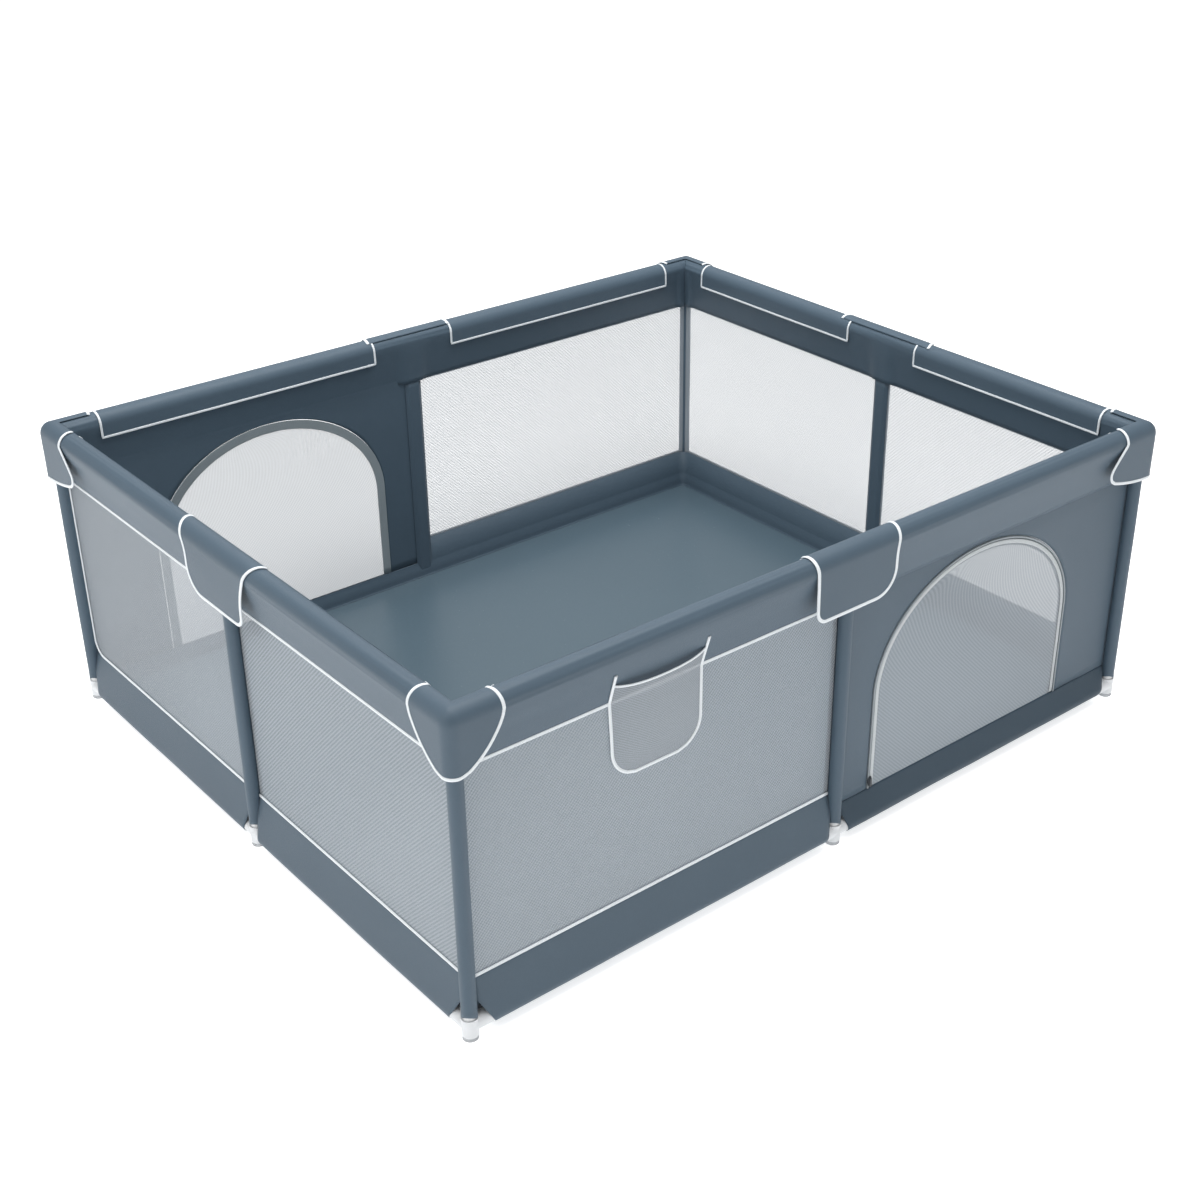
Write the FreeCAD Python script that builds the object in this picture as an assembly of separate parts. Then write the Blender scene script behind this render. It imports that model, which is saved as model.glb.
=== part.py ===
import FreeCAD, Part
import math
import os

# Playpen: a steel tube frame in plastic fittings, dressed in a sewn cover with mesh windows,
# two arched zip doors, a hanging pocket, and flaps that close over the padded top rail.
# Millimetres, +Z up. The origin is on the ground under the middle of the pen.
# +X runs along the long walls and the pocket is on the front wall, which faces -Y.

Vec = FreeCAD.Vector

# frame
spanLong = 1800.0           # between corner post axes, along X
spanShort = 1500.0          # between corner post axes, along Y
tubeR = 12.5
tubeWall = 0.8
railHeight = 660.5          # axis of the top rails
sillHeight = 30.0           # axis of the bottom rails
hubR = 15.5                 # plastic fittings round a tube end
topReach = 18.0             # top fittings, from the post axis to the tube's end
cornerFootReach = 55.0
middleFootReach = 36.0
spigotLength = 40.0
spigotGap = 0.1
footBottom = 8.0
footTop = 46.0
foamR = 22.3
foamBore = 12.8

# suction cups
cupR = 15.0
cupLip = 1.6
cupNeckR = 5.0

# cover
cloth = 1.5                 # thickness of a sewn layer
coverR = 24.5               # outside of the cloth over the padded rail
cornerInset = 4.0           # from the corner post's axis in to the centre of the cover's round corner
wallFace = -8.0             # outer face of the upright walls, outwards from the post axes
upperSeam = 556.0
lowerSeam = 122.0
rimDrop = 4.0               # below the rail's axis the cover turns in towards the walls
sleeveR = 14.5
sleeveTop = 600.0
hemR = 14.5
hemBoreR = 13.0
postGap = 15.0              # from a post's axis to the walls beside it
meshThick = 1.2
seamGap = 0.2
floorBottom = 16.0
floorThick = 5.0
floorInset = 16.0

# flaps
flapOffset = 26.0           # from the rail's axis to the inner face of a hanging flap
flapHalf = 107.0            # half the width of a middle flap
flapDrop = 105.0            # from the rail's axis to a middle flap's lower edge
flapCornerR = 38.0
innerFlapDrop = 31.0
innerFlapEnd = 92.0         # from the corner post's axis to the end of an inner flap
hoodTop = 86.0              # reach of a corner hood along each wall, at the rail
hoodDrop = 105.5

# doors
doorCentre = 405.0          # along the wall, from the middle post
doorHalf = 303.0
doorSpring = 302.0          # where the straight sides end and the arch begins
doorTop = 549.0
doorSill = {"front": 80.0, "back": 60.0}
zipWidth = 11.0
zipThick = 2.5
zipBack = -10.0              # inner face of the zip, outwards from the post axes
sliderFront = -3.5
sliderHeight = 22.0
sliderStart = 8.0           # slider's lower end above the door sill, when shut
pullWidth = 9.0
pullThick = 2.0
pullLength = 42.0

# pocket
pocketCentre = -466.0
pocketHalf = 106.0
pocketTop = 591.0
pocketBottom = 393.0
pocketCornerR = 60.0
pocketDepth = 13.0          # outer face of the pocket, outwards from the post axes
pocketEdge = 3.0

walls = {
    "front": {"turn": 0, "half": spanLong / 2, "out": spanShort / 2},
    "right": {"turn": 90, "half": spanShort / 2, "out": spanLong / 2},
    "back": {"turn": 180, "half": spanLong / 2, "out": spanShort / 2},
    "left": {"turn": 270, "half": spanShort / 2, "out": spanLong / 2},
}
corners = {
    "front_left": {"turn": 0, "x": -spanLong / 2, "y": -spanShort / 2, "shield": True},
    "front_right": {"turn": 90, "x": spanLong / 2, "y": -spanShort / 2, "shield": False},
    "back_right": {"turn": 180, "x": spanLong / 2, "y": spanShort / 2, "shield": True},
    "back_left": {"turn": 270, "x": -spanLong / 2, "y": spanShort / 2, "shield": False},
}
alongX = Vec(1, 0, 0)
alongY = Vec(0, 1, 0)
alongZ = Vec(0, 0, 1)
parts = {}


# A wall is drawn flat: X along it from the middle post, Y up from the ground, Z outwards
# from the post axes. onWall stands it up in its place.
def onWall(shape, side):
    wall = walls[side]
    stood = shape.copy()
    stood.rotate(Vec(0, 0, 0), alongX, 90)
    stood.translate(Vec(0, -wall["out"], 0))
    stood.rotate(Vec(0, 0, 0), alongZ, wall["turn"])
    return stood


# A corner is drawn round its post's axis, with its walls leaving along +X and +Y.
def onCorner(shape, corner):
    spot = corners[corner]
    placed = shape.copy()
    placed.rotate(Vec(0, 0, 0), alongZ, spot["turn"])
    placed.translate(Vec(spot["x"], spot["y"], 0))
    return placed


def save(name, shapes):
    solids = []
    for shape in shapes:
        for solid in shape.Solids:
            solids.append(solid)
    parts[name] = solids[0] if len(solids) == 1 else Part.makeCompound(solids)


def fuse(shapes):
    whole = shapes[0].fuse(shapes[1:])
    return whole.removeSplitter()


def block(low, high):
    size = [high[i] - low[i] for i in range(3)]
    return Part.makeBox(size[0], size[1], size[2], Vec(*low))


def tube(start, end):
    run = end - start
    outer = Part.makeCylinder(tubeR, run.Length, start, run)
    bore = Part.makeCylinder(tubeR - tubeWall, run.Length, start, run)
    return outer.cut(bore)


def polygonFace(points):
    return Part.Face(Part.makePolygon(points + [points[0]]))


def prism(points, direction):
    return polygonFace(points).extrude(direction)


# An arm of a fitting: a collar up to the tube's end, and a spigot inside the tube.
def fittingArm(centre, direction, reach):
    spigotR = tubeR - tubeWall - spigotGap
    collar = Part.makeCylinder(hubR, reach, centre, direction)
    spigot = Part.makeCylinder(spigotR, reach + spigotLength, centre, direction)
    return [collar, spigot]


# ---- frame: posts and rails
def wallTubes(side, height, cornerReach, middleReach):
    half = walls[side]["half"]
    runs = []
    for sign in (-1, 1):
        start = Vec(sign * middleReach, height, 0)
        end = Vec(sign * (half - cornerReach), height, 0)
        runs.append(onWall(tube(start, end), side))
    return runs


postLow = Vec(0, 0, footTop)
postHigh = Vec(0, 0, railHeight - topReach)
for corner in corners:
    save("post_" + corner, [onCorner(tube(postLow, postHigh), corner)])
for side in walls:
    middlePost = tube(Vec(0, footTop, 0), Vec(0, railHeight - topReach, 0))
    save("post_" + side + "_middle", [onWall(middlePost, side)])
    save("top_rail_" + side, wallTubes(side, railHeight, topReach, topReach))

sills = []
for side in walls:
    sills += wallTubes(side, sillHeight, cornerFootReach, middleFootReach)
save("bottom_rails", sills)


# ---- frame: plastic fittings
def topElbow():
    centre = Vec(0, 0, railHeight)
    pieces = [Part.makeSphere(hubR, centre)]
    for direction in (alongX, alongY, Vec(0, 0, -1)):
        pieces += fittingArm(centre, direction, topReach)
    return fuse(pieces)


def topTee():
    centre = Vec(0, railHeight, 0)
    pieces = []
    for direction in (alongX, Vec(-1, 0, 0), Vec(0, -1, 0)):
        pieces += fittingArm(centre, direction, topReach)
    return fuse(pieces)


def foot(up, arms, reach):
    centre = up * sillHeight
    hub = Part.makeCylinder(hubR, footTop - footBottom, up * footBottom, up)
    spigotR = tubeR - tubeWall - spigotGap
    pieces = [hub, Part.makeCylinder(spigotR, spigotLength, up * footTop, up)]
    for direction in arms:
        pieces += fittingArm(centre, direction, reach)
    return fuse(pieces)


def suctionCup(up):
    # lip on the ground, a cone up to the neck, and a hollow underneath
    profile = [
        Vec(0, 0, 4.5),
        Vec(cupR - 3.0, 0, 0),
        Vec(cupR, 0, 0),
        Vec(cupR, 0, cupLip),
        Vec(cupNeckR + 2.0, 0, 5.5),
        Vec(cupNeckR, 0, footBottom),
        Vec(0, 0, footBottom),
    ]
    cup = polygonFace(profile).revolve(Vec(0, 0, 0), alongZ, 360)
    if up.y:
        cup.rotate(Vec(0, 0, 0), alongX, -90)
    return cup


elbow = topElbow()
tee = topTee()
cornerFoot = foot(alongZ, [alongX, alongY], cornerFootReach)
middleFoot = foot(alongY, [alongX, Vec(-1, 0, 0)], middleFootReach)
cornerCup = suctionCup(alongZ)
middleCup = suctionCup(alongY)
save("top_elbows", [onCorner(elbow, corner) for corner in corners])
save("top_tees", [onWall(tee, side) for side in walls])
save("corner_feet", [onCorner(cornerFoot, corner) for corner in corners])
save("middle_feet", [onWall(middleFoot, side) for side in walls])
cups = [onCorner(cornerCup, corner) for corner in corners]
cups += [onWall(middleCup, side) for side in walls]
save("suction_cups", cups)


# ---- foam sleeves on the top rails
def foamSleeve(start, length):
    outer = Part.makeCylinder(foamR, length, start, alongX)
    return outer.cut(Part.makeCylinder(foamBore, length, start, alongX))


foams = []
for side in walls:
    near = topReach + seamGap
    far = walls[side]["half"] - coverR - 1
    for low in (near, -far):
        foams.append(onWall(foamSleeve(Vec(low, railHeight, 0), far - near), side))
save("rail_foam", foams)


# A block round the whole pen, a distance outside the post axes, with its corners rounded.
def roundedPlan(offset, low, high):
    x = spanLong / 2 + offset
    y = spanShort / 2 + offset
    plan = block((-x, -y, low), (x, y, high))
    upright = []
    for edge in plan.Edges:
        if edge.Vertexes[0].Point.z != edge.Vertexes[1].Point.z:
            upright.append(edge)
    return plan.makeFillet(offset - cornerInset, upright)


# ---- cover: cloth over the rail and down to the top of the windows, mitred at the corners
def railCover(side):
    half = walls[side]["half"]
    reach = half + coverR + 5
    start = Vec(-reach, railHeight, 0)
    ring = Part.makeCylinder(coverR, 2 * reach, start, alongX)
    ring = ring.cut(Part.makeCylinder(coverR - cloth, 2 * reach, start, alongX))
    below = block((-reach, 0, -50), (reach, railHeight, 50))
    saddle = ring.cut(below)
    band = prism(
        [
            Vec(-reach, railHeight, coverR),
            Vec(-reach, railHeight - rimDrop, coverR),
            Vec(-reach, upperSeam, wallFace),
            Vec(-reach, upperSeam, wallFace - cloth),
            Vec(-reach, railHeight - rimDrop, coverR - cloth),
            Vec(-reach, railHeight, coverR - cloth),
        ],
        Vec(2 * reach, 0, 0),
    )
    cover = fuse([saddle, band])
    for x in (-half, 0, half):
        post = Part.makeCylinder(hubR + 0.3, railHeight, Vec(x, 0, 0), alongY)
        cover = cover.cut(post)
    mitre = prism(
        [
            Vec(-half - 50 + seamGap, 0, 50),
            Vec(half + 50 - seamGap, 0, 50),
            Vec(half - 50 - seamGap, 0, -50),
            Vec(-half + 50 + seamGap, 0, -50),
        ],
        Vec(0, 2 * railHeight, 0),
    )
    return onWall(cover.common(mitre), side).common(roundedPlan(coverR, 0, railHeight + 50))


# ---- cover: the band round the foot of each wall, hemmed round the bottom rail
def skirtHalf(side, sign, top):
    low = postGap
    high = walls[side]["half"] - postGap
    start = Vec(low, sillHeight, 0)
    hem = Part.makeCylinder(hemR, high - low, start, alongX)
    hem = hem.cut(Part.makeCylinder(hemBoreR, high - low, start, alongX))
    meet = sillHeight + math.sqrt(hemR ** 2 - wallFace ** 2) - 1.5
    plateLow = (low, meet, wallFace - cloth)
    plate = block(plateLow, (high, top, wallFace))
    skirt = fuse([hem, plate])
    # the hem is cut away on a slope at each foot, so that the fitting shows
    notches = [(low, middleFootReach + 2), (high, high + postGap - cornerFootReach - 2)]
    for end, stop in notches:
        rise = end + 0.25 * (stop - end)
        beyond = end - math.copysign(2, stop - end)
        notch = prism(
            [
                Vec(beyond, 0, -50),
                Vec(stop, 0, -50),
                Vec(stop, footTop, -50),
                Vec(rise, 72, -50),
                Vec(beyond, 72, -50),
            ],
            Vec(0, 0, 100),
        )
        skirt = skirt.cut(notch)
    if sign < 0:
        skirt = skirt.mirror(Vec(0, 0, 0), alongX)
    return onWall(skirt, side)


# ---- mesh windows
def meshWindow(side, sign):
    low = postGap
    high = walls[side]["half"] - postGap
    if sign < 0:
        low, high = -high, -low
    back = wallFace - cloth
    bottom = (low, lowerSeam + seamGap, back)
    return onWall(block(bottom, (high, upperSeam - seamGap, back + meshThick)), side)


for side in walls:
    save("rail_cover_" + side, [railCover(side)])
    doorTopOfSkirt = doorSill.get(side, lowerSeam)
    save("skirt_" + side, [skirtHalf(side, -1, lowerSeam), skirtHalf(side, 1, doorTopOfSkirt)])
    windowSigns = [-1] if side in doorSill else [-1, 1]
    save("mesh_" + side, [meshWindow(side, sign) for sign in windowSigns])


def postSleeve(up):
    length = sleeveTop - footTop
    sleeve = Part.makeCylinder(sleeveR, length, up * footTop, up)
    return sleeve.cut(Part.makeCylinder(sleeveR - cloth, length, up * footTop, up))


sleeves = [onCorner(postSleeve(alongZ), corner) for corner in corners]
sleeves += [onWall(postSleeve(alongY), side) for side in walls]
save("post_sleeves", sleeves)

floorLow = (-spanLong / 2 + floorInset, -spanShort / 2 + floorInset, floorBottom)
floorHigh = (spanLong / 2 - floorInset, spanShort / 2 - floorInset, floorBottom + floorThick)
save("floor_base", [block(floorLow, floorHigh)])


# ---- doors: an arch with straight sides, set in by a chosen distance
def archFace(sill, inset, sillInset):
    left = doorCentre - doorHalf + inset
    right = doorCentre + doorHalf - inset
    bottom = sill + sillInset
    centre = Vec(doorCentre, doorSpring, 0)
    rise = doorTop - doorSpring - inset
    oval = Part.Ellipse(centre, doorHalf - inset, rise)
    arch = Part.ArcOfEllipse(oval, 0, math.pi).toShape()
    edges = [
        arch,
        Part.makeLine(Vec(left, doorSpring, 0), Vec(left, bottom, 0)),
        Part.makeLine(Vec(left, bottom, 0), Vec(right, bottom, 0)),
        Part.makeLine(Vec(right, bottom, 0), Vec(right, doorSpring, 0)),
    ]
    return Part.Face(Part.Wire(Part.__sortEdges__(edges)))


def archPlate(sill, inset, sillInset, back, thick):
    plate = archFace(sill, inset, sillInset).extrude(Vec(0, 0, thick))
    plate.translate(Vec(0, 0, back))
    return plate


def zipSlider(sill):
    x = doorCentre - doorHalf + zipWidth / 2
    low = (x - 5, sill + sliderStart, zipBack + zipThick + 0.3)
    return block(low, (x + 5, sill + sliderStart + sliderHeight, sliderFront))


def zipPull(sill):
    x = doorCentre - doorHalf + zipWidth / 2
    top = sill + sliderStart + sliderHeight - 2
    low = (x - pullWidth / 2, top - pullLength, sliderFront + 0.4)
    high = (x + pullWidth / 2, top, sliderFront + 0.4 + pullThick)
    plate = block(low, high)
    across = []
    for edge in plate.Edges:
        if edge.Vertexes[0].Point.z != edge.Vertexes[1].Point.z:
            across.append(edge)
    return plate.makeFillet(2.5, across)


for side, sill in doorSill.items():
    back = wallFace - cloth
    panelLow = (postGap, sill + seamGap, back)
    panelHigh = (walls[side]["half"] - postGap, upperSeam - seamGap, wallFace)
    panel = block(panelLow, panelHigh).cut(archPlate(sill, 0, -5, back - 1, cloth + 2))
    zipBand = archPlate(sill, seamGap, seamGap, zipBack, zipThick)
    zipBand = zipBand.cut(archPlate(sill, zipWidth, -5, zipBack - 1, zipThick + 2))
    save("panel_" + side, [onWall(panel, side)])
    save("zip_" + side, [onWall(zipBand, side)])
    door = archPlate(sill, zipWidth + 0.5, 0.5, back, cloth)
    save("door_" + side, [onWall(door, side)])
    save("zip_slider_" + side, [onWall(zipSlider(sill), side)])
    save("zip_pull_" + side, [onWall(zipPull(sill), side)])


# ---- pocket: a flat pouch on the outside of the front window
def pocketFace(edge, top):
    left = pocketCentre - pocketHalf + edge
    right = pocketCentre + pocketHalf - edge
    bottom = pocketBottom + edge
    radius = pocketCornerR - edge
    leftTurn = Vec(left + radius, bottom + radius, 0)
    rightTurn = Vec(right - radius, bottom + radius, 0)
    leftArc = Part.Circle(leftTurn, alongZ, radius)
    rightArc = Part.Circle(rightTurn, alongZ, radius)
    edges = [
        Part.makeLine(Vec(left, top, 0), Vec(left, bottom + radius, 0)),
        Part.ArcOfCircle(leftArc, math.pi, 1.5 * math.pi).toShape(),
        Part.makeLine(Vec(left + radius, bottom, 0), Vec(right - radius, bottom, 0)),
        Part.ArcOfCircle(rightArc, 1.5 * math.pi, 2 * math.pi).toShape(),
        Part.makeLine(Vec(right, bottom + radius, 0), Vec(right, top, 0)),
        Part.makeLine(Vec(right, top, 0), Vec(left, top, 0)),
    ]
    return Part.Face(Part.Wire(Part.__sortEdges__(edges)))


# the sloping cloth behind the pocket's mouth, with a small gap in front of it
def slopeBehindMouth():
    lean = (coverR - wallFace) / (railHeight - rimDrop - upperSeam)
    left = pocketCentre - pocketHalf - 1
    foot = upperSeam - 0.5
    head = pocketTop + 10
    face = wallFace + 0.4
    return prism(
        [
            Vec(left, foot, face - 5),
            Vec(left, foot, face),
            Vec(left, head, face + lean * (head - foot)),
            Vec(left, head, face - 5),
        ],
        Vec(2 * pocketHalf + 2, 0, 0),
    )


pocketBack = wallFace - cloth + meshThick + 0.1
pouch = pocketFace(0, pocketTop).extrude(Vec(0, 0, pocketDepth - pocketBack))
hollow = pocketFace(pocketEdge, pocketTop + 5).extrude(Vec(0, 0, pocketDepth - pocketBack - cloth))
pouch = pouch.cut(hollow)
pouch.translate(Vec(0, 0, pocketBack))
save("pocket", [onWall(pouch.cut(slopeBehindMouth()), "front")])


# ---- flaps that hang from the rail
def middleFlap():
    low = (-flapHalf, railHeight - flapDrop, flapOffset)
    flap = block(low, (flapHalf, railHeight, flapOffset + cloth))
    lower = []
    for edge in flap.Edges:
        ends = [vertex.Point for vertex in edge.Vertexes]
        if ends[0].z != ends[1].z and ends[0].y < railHeight - 1:
            lower.append(edge)
    return flap.makeFillet(flapCornerR, lower)


def innerFlap(side, sign):
    near = flapHalf
    far = walls[side]["half"] - innerFlapEnd
    low, high = (near, far) if sign > 0 else (-far, -near)
    bottom = (low, railHeight - innerFlapDrop, -flapOffset - cloth)
    return block(bottom, (high, railHeight, -flapOffset))


endNames = {"front": ("left", "right"), "back": ("right", "left")}
endNames.update({"left": ("back", "front"), "right": ("front", "back")})
for side in walls:
    save("middle_flap_" + side, [onWall(middleFlap(), side)])
    for sign, end in zip((-1, 1), endNames[side]):
        save("inner_flap_" + side + "_" + end, [onWall(innerFlap(side, sign), side)])


# ---- corner hoods: one piece of cloth wrapped round each upper corner
def hoodShell():
    low = railHeight - hoodDrop
    around = roundedPlan(flapOffset + cloth, low, railHeight).cut(
        roundedPlan(flapOffset, low - 1, railHeight + 1)
    )
    around.translate(Vec(spanLong / 2, spanShort / 2, 0))
    return around.common(block((-60, -60, 0), (160, 160, railHeight)))


def hoodOutline(shield):
    # reach along the wall and height: narrow like a shield, or square with a turned-out edge
    top = railHeight
    if shield:
        return [(hoodTop, top), (62, 620), (38, 585), (18, 556), (-40, 554)]
    return [(hoodTop, top), (112, 634), (130, 612), (130, 594), (118, 582), (-40, 562)]


def cornerHood(shield):
    shape = hoodShell()
    outline = hoodOutline(shield)
    ground = railHeight - hoodDrop - 1
    below = [(160, railHeight), *outline, (-40, ground), (160, ground)]
    alongFirst = prism([Vec(s, -60, z) for s, z in below], Vec(0, 55, 0))
    alongSecond = prism([Vec(-60, s, z) for s, z in below], Vec(55, 0, 0))
    shape = shape.cut(alongFirst).cut(alongSecond)
    return shape


for corner, spot in corners.items():
    save("corner_hood_" + corner, [onCorner(cornerHood(spot["shield"]), corner)])

os.makedirs("parts", exist_ok=True)
for name, shape in parts.items():
    shape.exportStep("parts/" + name + ".step")
    print(name, len(shape.Solids), "solids", shape.isValid(), round(shape.Volume / 1000, 2), "cm3")
print(len(parts), "nodes")
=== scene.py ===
import math

import bpy
from mathutils import Matrix, Vector, noise


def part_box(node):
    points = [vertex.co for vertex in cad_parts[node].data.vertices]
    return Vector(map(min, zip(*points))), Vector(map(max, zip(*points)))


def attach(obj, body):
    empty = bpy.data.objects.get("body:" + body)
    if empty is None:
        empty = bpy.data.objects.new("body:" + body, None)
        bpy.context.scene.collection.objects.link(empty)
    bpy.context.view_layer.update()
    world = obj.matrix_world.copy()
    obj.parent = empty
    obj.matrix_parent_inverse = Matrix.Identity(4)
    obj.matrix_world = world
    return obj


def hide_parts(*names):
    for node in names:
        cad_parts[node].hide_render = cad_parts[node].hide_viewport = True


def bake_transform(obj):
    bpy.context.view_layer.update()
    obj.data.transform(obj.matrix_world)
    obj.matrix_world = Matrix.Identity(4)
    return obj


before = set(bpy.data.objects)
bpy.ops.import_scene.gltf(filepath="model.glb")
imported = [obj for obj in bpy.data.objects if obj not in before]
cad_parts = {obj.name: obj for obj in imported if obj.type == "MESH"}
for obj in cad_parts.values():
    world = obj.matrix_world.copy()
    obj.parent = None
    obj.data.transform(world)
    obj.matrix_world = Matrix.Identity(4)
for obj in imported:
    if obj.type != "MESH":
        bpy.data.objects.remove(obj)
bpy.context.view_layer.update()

# Playpen. Metres, in the frame of the CAD part: +Z up, -Y is the front wall with the pocket.


# ---- places taken from the frame
def middleOf(node):
    low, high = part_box(node)
    return (low + high) / 2


halfLong = middleOf("post_front_right").x
halfShort = middleOf("post_back_right").y
railZ = middleOf("top_rail_front").z
sillZ = middleOf("bottom_rails").z
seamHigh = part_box("mesh_front")[1].z
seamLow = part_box("mesh_front")[0].z
wallAt = -halfShort - middleOf("mesh_front").y
doorSill = {side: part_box("door_" + side)[0].z for side in ("front", "back")}

wallTurn = {"front": 0, "right": 90, "back": 180, "left": 270}
wallHalf = {"front": halfLong, "right": halfShort, "back": halfLong, "left": halfShort}
wallOut = {"front": halfShort, "right": halfLong, "back": halfShort, "left": halfLong}
cornerSpot = {
    "front_left": (0, -halfLong, -halfShort),
    "front_right": (90, halfLong, -halfShort),
    "back_right": (180, halfLong, halfShort),
    "back_left": (270, -halfLong, halfShort),
}
endNames = {
    "front": ("left", "right"),
    "back": ("right", "left"),
    "left": ("back", "front"),
    "right": ("front", "back"),
}


def turned(x, y, z, degrees):
    a = math.radians(degrees)
    return Vector((x * math.cos(a) - y * math.sin(a), x * math.sin(a) + y * math.cos(a), z))


# u runs along a wall from its middle post, w outwards from the post axes, z up
def onWall(side, u, w, z):
    return turned(u, -wallOut[side] - w, z, wallTurn[side])


def outwards(side):
    return turned(0, -1, 0, wallTurn[side])


# ---- mesh tools
def finishMesh(name, verts, faces, uvs, material):
    mesh = bpy.data.meshes.new(name)
    mesh.from_pydata(verts, [], faces)
    layer = mesh.uv_layers.new(name="cloth")
    flat = [value for face in uvs for pair in face for value in pair]
    layer.data.foreach_set("uv", flat)
    mesh.polygons.foreach_set("use_smooth", [True] * len(faces))
    mesh.materials.append(material)
    mesh.validate()
    piece = bpy.data.objects.new(name, mesh)
    bpy.context.scene.collection.objects.link(piece)
    return piece


def gathered(points):
    far = [0.0]
    for a, b in zip(points, points[1:]):
        far.append(far[-1] + (b - a).length)
    return far


# rows[i][j] are points of a cloth; its UV map holds real distances, so a weave keeps its size
def gridMesh(name, rows, material, closed=False):
    wide = len(rows[0])
    across = [gathered(row + row[:1] if closed else row) for row in rows]
    along = [gathered([row[j] for row in rows]) for j in range(wide)]
    verts = [point for row in rows for point in row]
    faces, uvs = [], []
    for i in range(len(rows) - 1):
        for j in range(wide if closed else wide - 1):
            k = (j + 1) % wide
            faces.append((i * wide + j, i * wide + k, (i + 1) * wide + k, (i + 1) * wide + j))
            uvs.append([
                (along[j][i], across[i][j]),
                (along[k][i], across[i][j + 1]),
                (along[k][i + 1], across[i + 1][j + 1]),
                (along[j][i + 1], across[i + 1][j]),
            ])
    return finishMesh(name, verts, faces, uvs, material)


# a tape, cord or coil along a path: section holds (across, out) offsets from the path
def sweepMesh(name, path, normals, section, material):
    rows = []
    for i, point in enumerate(path):
        ahead = path[min(i + 1, len(path) - 1)] - path[max(i - 1, 0)]
        run = ahead.normalized()
        out = (normals[i] - run * normals[i].dot(run)).normalized()
        side = run.cross(out)
        rows.append([point + side * a + out * b for a, b in section])
    piece = gridMesh(name, rows, material, closed=True)
    return capped(piece, len(section), len(path))


def capped(piece, around, count):
    mesh = piece.data
    verts = [v.co.copy() for v in mesh.vertices]
    faces = [tuple(p.vertices) for p in mesh.polygons]
    layer = mesh.uv_layers["cloth"]
    uvs = [[tuple(layer.data[k].uv) for k in p.loop_indices] for p in mesh.polygons]
    first = tuple(range(around - 1, -1, -1))
    last = tuple((count - 1) * around + k for k in range(around))
    for cap in (first, last):
        faces.append(cap)
        uvs.append([(0.0, 0.0)] * around)
    material = mesh.materials[0]
    name = piece.name
    bpy.data.objects.remove(piece)
    bpy.data.meshes.remove(mesh)
    return finishMesh(name, verts, faces, uvs, material)


def tapeSection(width, thick, count=12, square=0.55):
    section = []
    for k in range(count):
        t = 2 * math.pi * (k + 0.5) / count
        c, s = math.cos(t), math.sin(t)
        a = math.copysign(abs(c) ** square, c) * width / 2
        b = math.copysign(abs(s) ** square, s) * thick / 2
        section.append((a, b))
    return section


def thicken(piece, thick, offset=0.0):
    solid = piece.modifiers.new("thickness", "SOLIDIFY")
    solid.thickness = thick
    solid.offset = offset
    return piece


def spread(low, high, count):
    return [low + (high - low) * k / (count - 1) for k in range(count)]


def mixed(a, b, t):
    return a + (b - a) * t


def eased(t):
    t = min(max(t, 0.0), 1.0)
    return t * t * (3 - 2 * t)


# a smooth curve through a few points, for outlines
def through(points, count):
    pts = [Vector(p) for p in points]
    pts = [pts[0] * 2 - pts[1]] + pts + [pts[-1] * 2 - pts[-2]]
    spans = len(pts) - 3
    curve = []
    for k in range(count):
        place = min(k * spans / (count - 1), spans - 1e-9)
        i = int(place)
        t = place - i
        p0, p1, p2, p3 = pts[i:i + 4]
        curve.append(0.5 * (
            2 * p1 + (p2 - p0) * t + (2 * p0 - 5 * p1 + 4 * p2 - p3) * t * t
            + (3 * p1 - p0 - 3 * p2 + p3) * t ** 3
        ))
    return curve


# ---- shader groups
def newGroup(name, inputs, outputs):
    group = bpy.data.node_groups.new(name, "ShaderNodeTree")
    for label, kind, value in inputs:
        socket = group.interface.new_socket(label, in_out="INPUT", socket_type="NodeSocket" + kind)
        socket.default_value = value
    for label, kind in outputs:
        group.interface.new_socket(label, in_out="OUTPUT", socket_type="NodeSocket" + kind)
    start = group.nodes.new("NodeGroupInput")
    end = group.nodes.new("NodeGroupOutput")
    return group, start, end


# inputs are given by name, or as i0, i1, i2 where a node's sockets share one name
def node(tree, kind, settings=None, **inputs):
    made = tree.nodes.new("ShaderNode" + kind)
    for key, value in (settings or {}).items():
        setattr(made, key, value)
    for key, value in inputs.items():
        numbered = key[0] == "i" and key[1:].isdigit()
        put(tree, made.inputs[int(key[1:]) if numbered else key], value)
    return made


def put(tree, socket, value):
    if isinstance(value, bpy.types.NodeSocket):
        tree.links.new(value, socket)
    else:
        socket.default_value = value


def sums(tree, operation, a, b=0.5, c=0.5):
    return node(tree, "Math", {"operation": operation}, i0=a, i1=b, i2=c).outputs[0]


def blendColour(tree, factor, a, b, mode="MIX"):
    mix = tree.nodes.new("ShaderNodeMix")
    mix.data_type = "RGBA"
    mix.blend_type = mode
    put(tree, mix.inputs[0], factor)
    put(tree, mix.inputs[6], a)
    put(tree, mix.inputs[7], b)
    return mix.outputs[2]


# how far along and how far across a cloth a point lies, in metres
def clothPlace(tree):
    pin = tree.nodes.new("ShaderNodeUVMap")
    pin.uv_map = "cloth"
    split = node(tree, "SeparateXYZ", i0=pin.outputs[0])
    return split.outputs[0], split.outputs[1]


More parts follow.
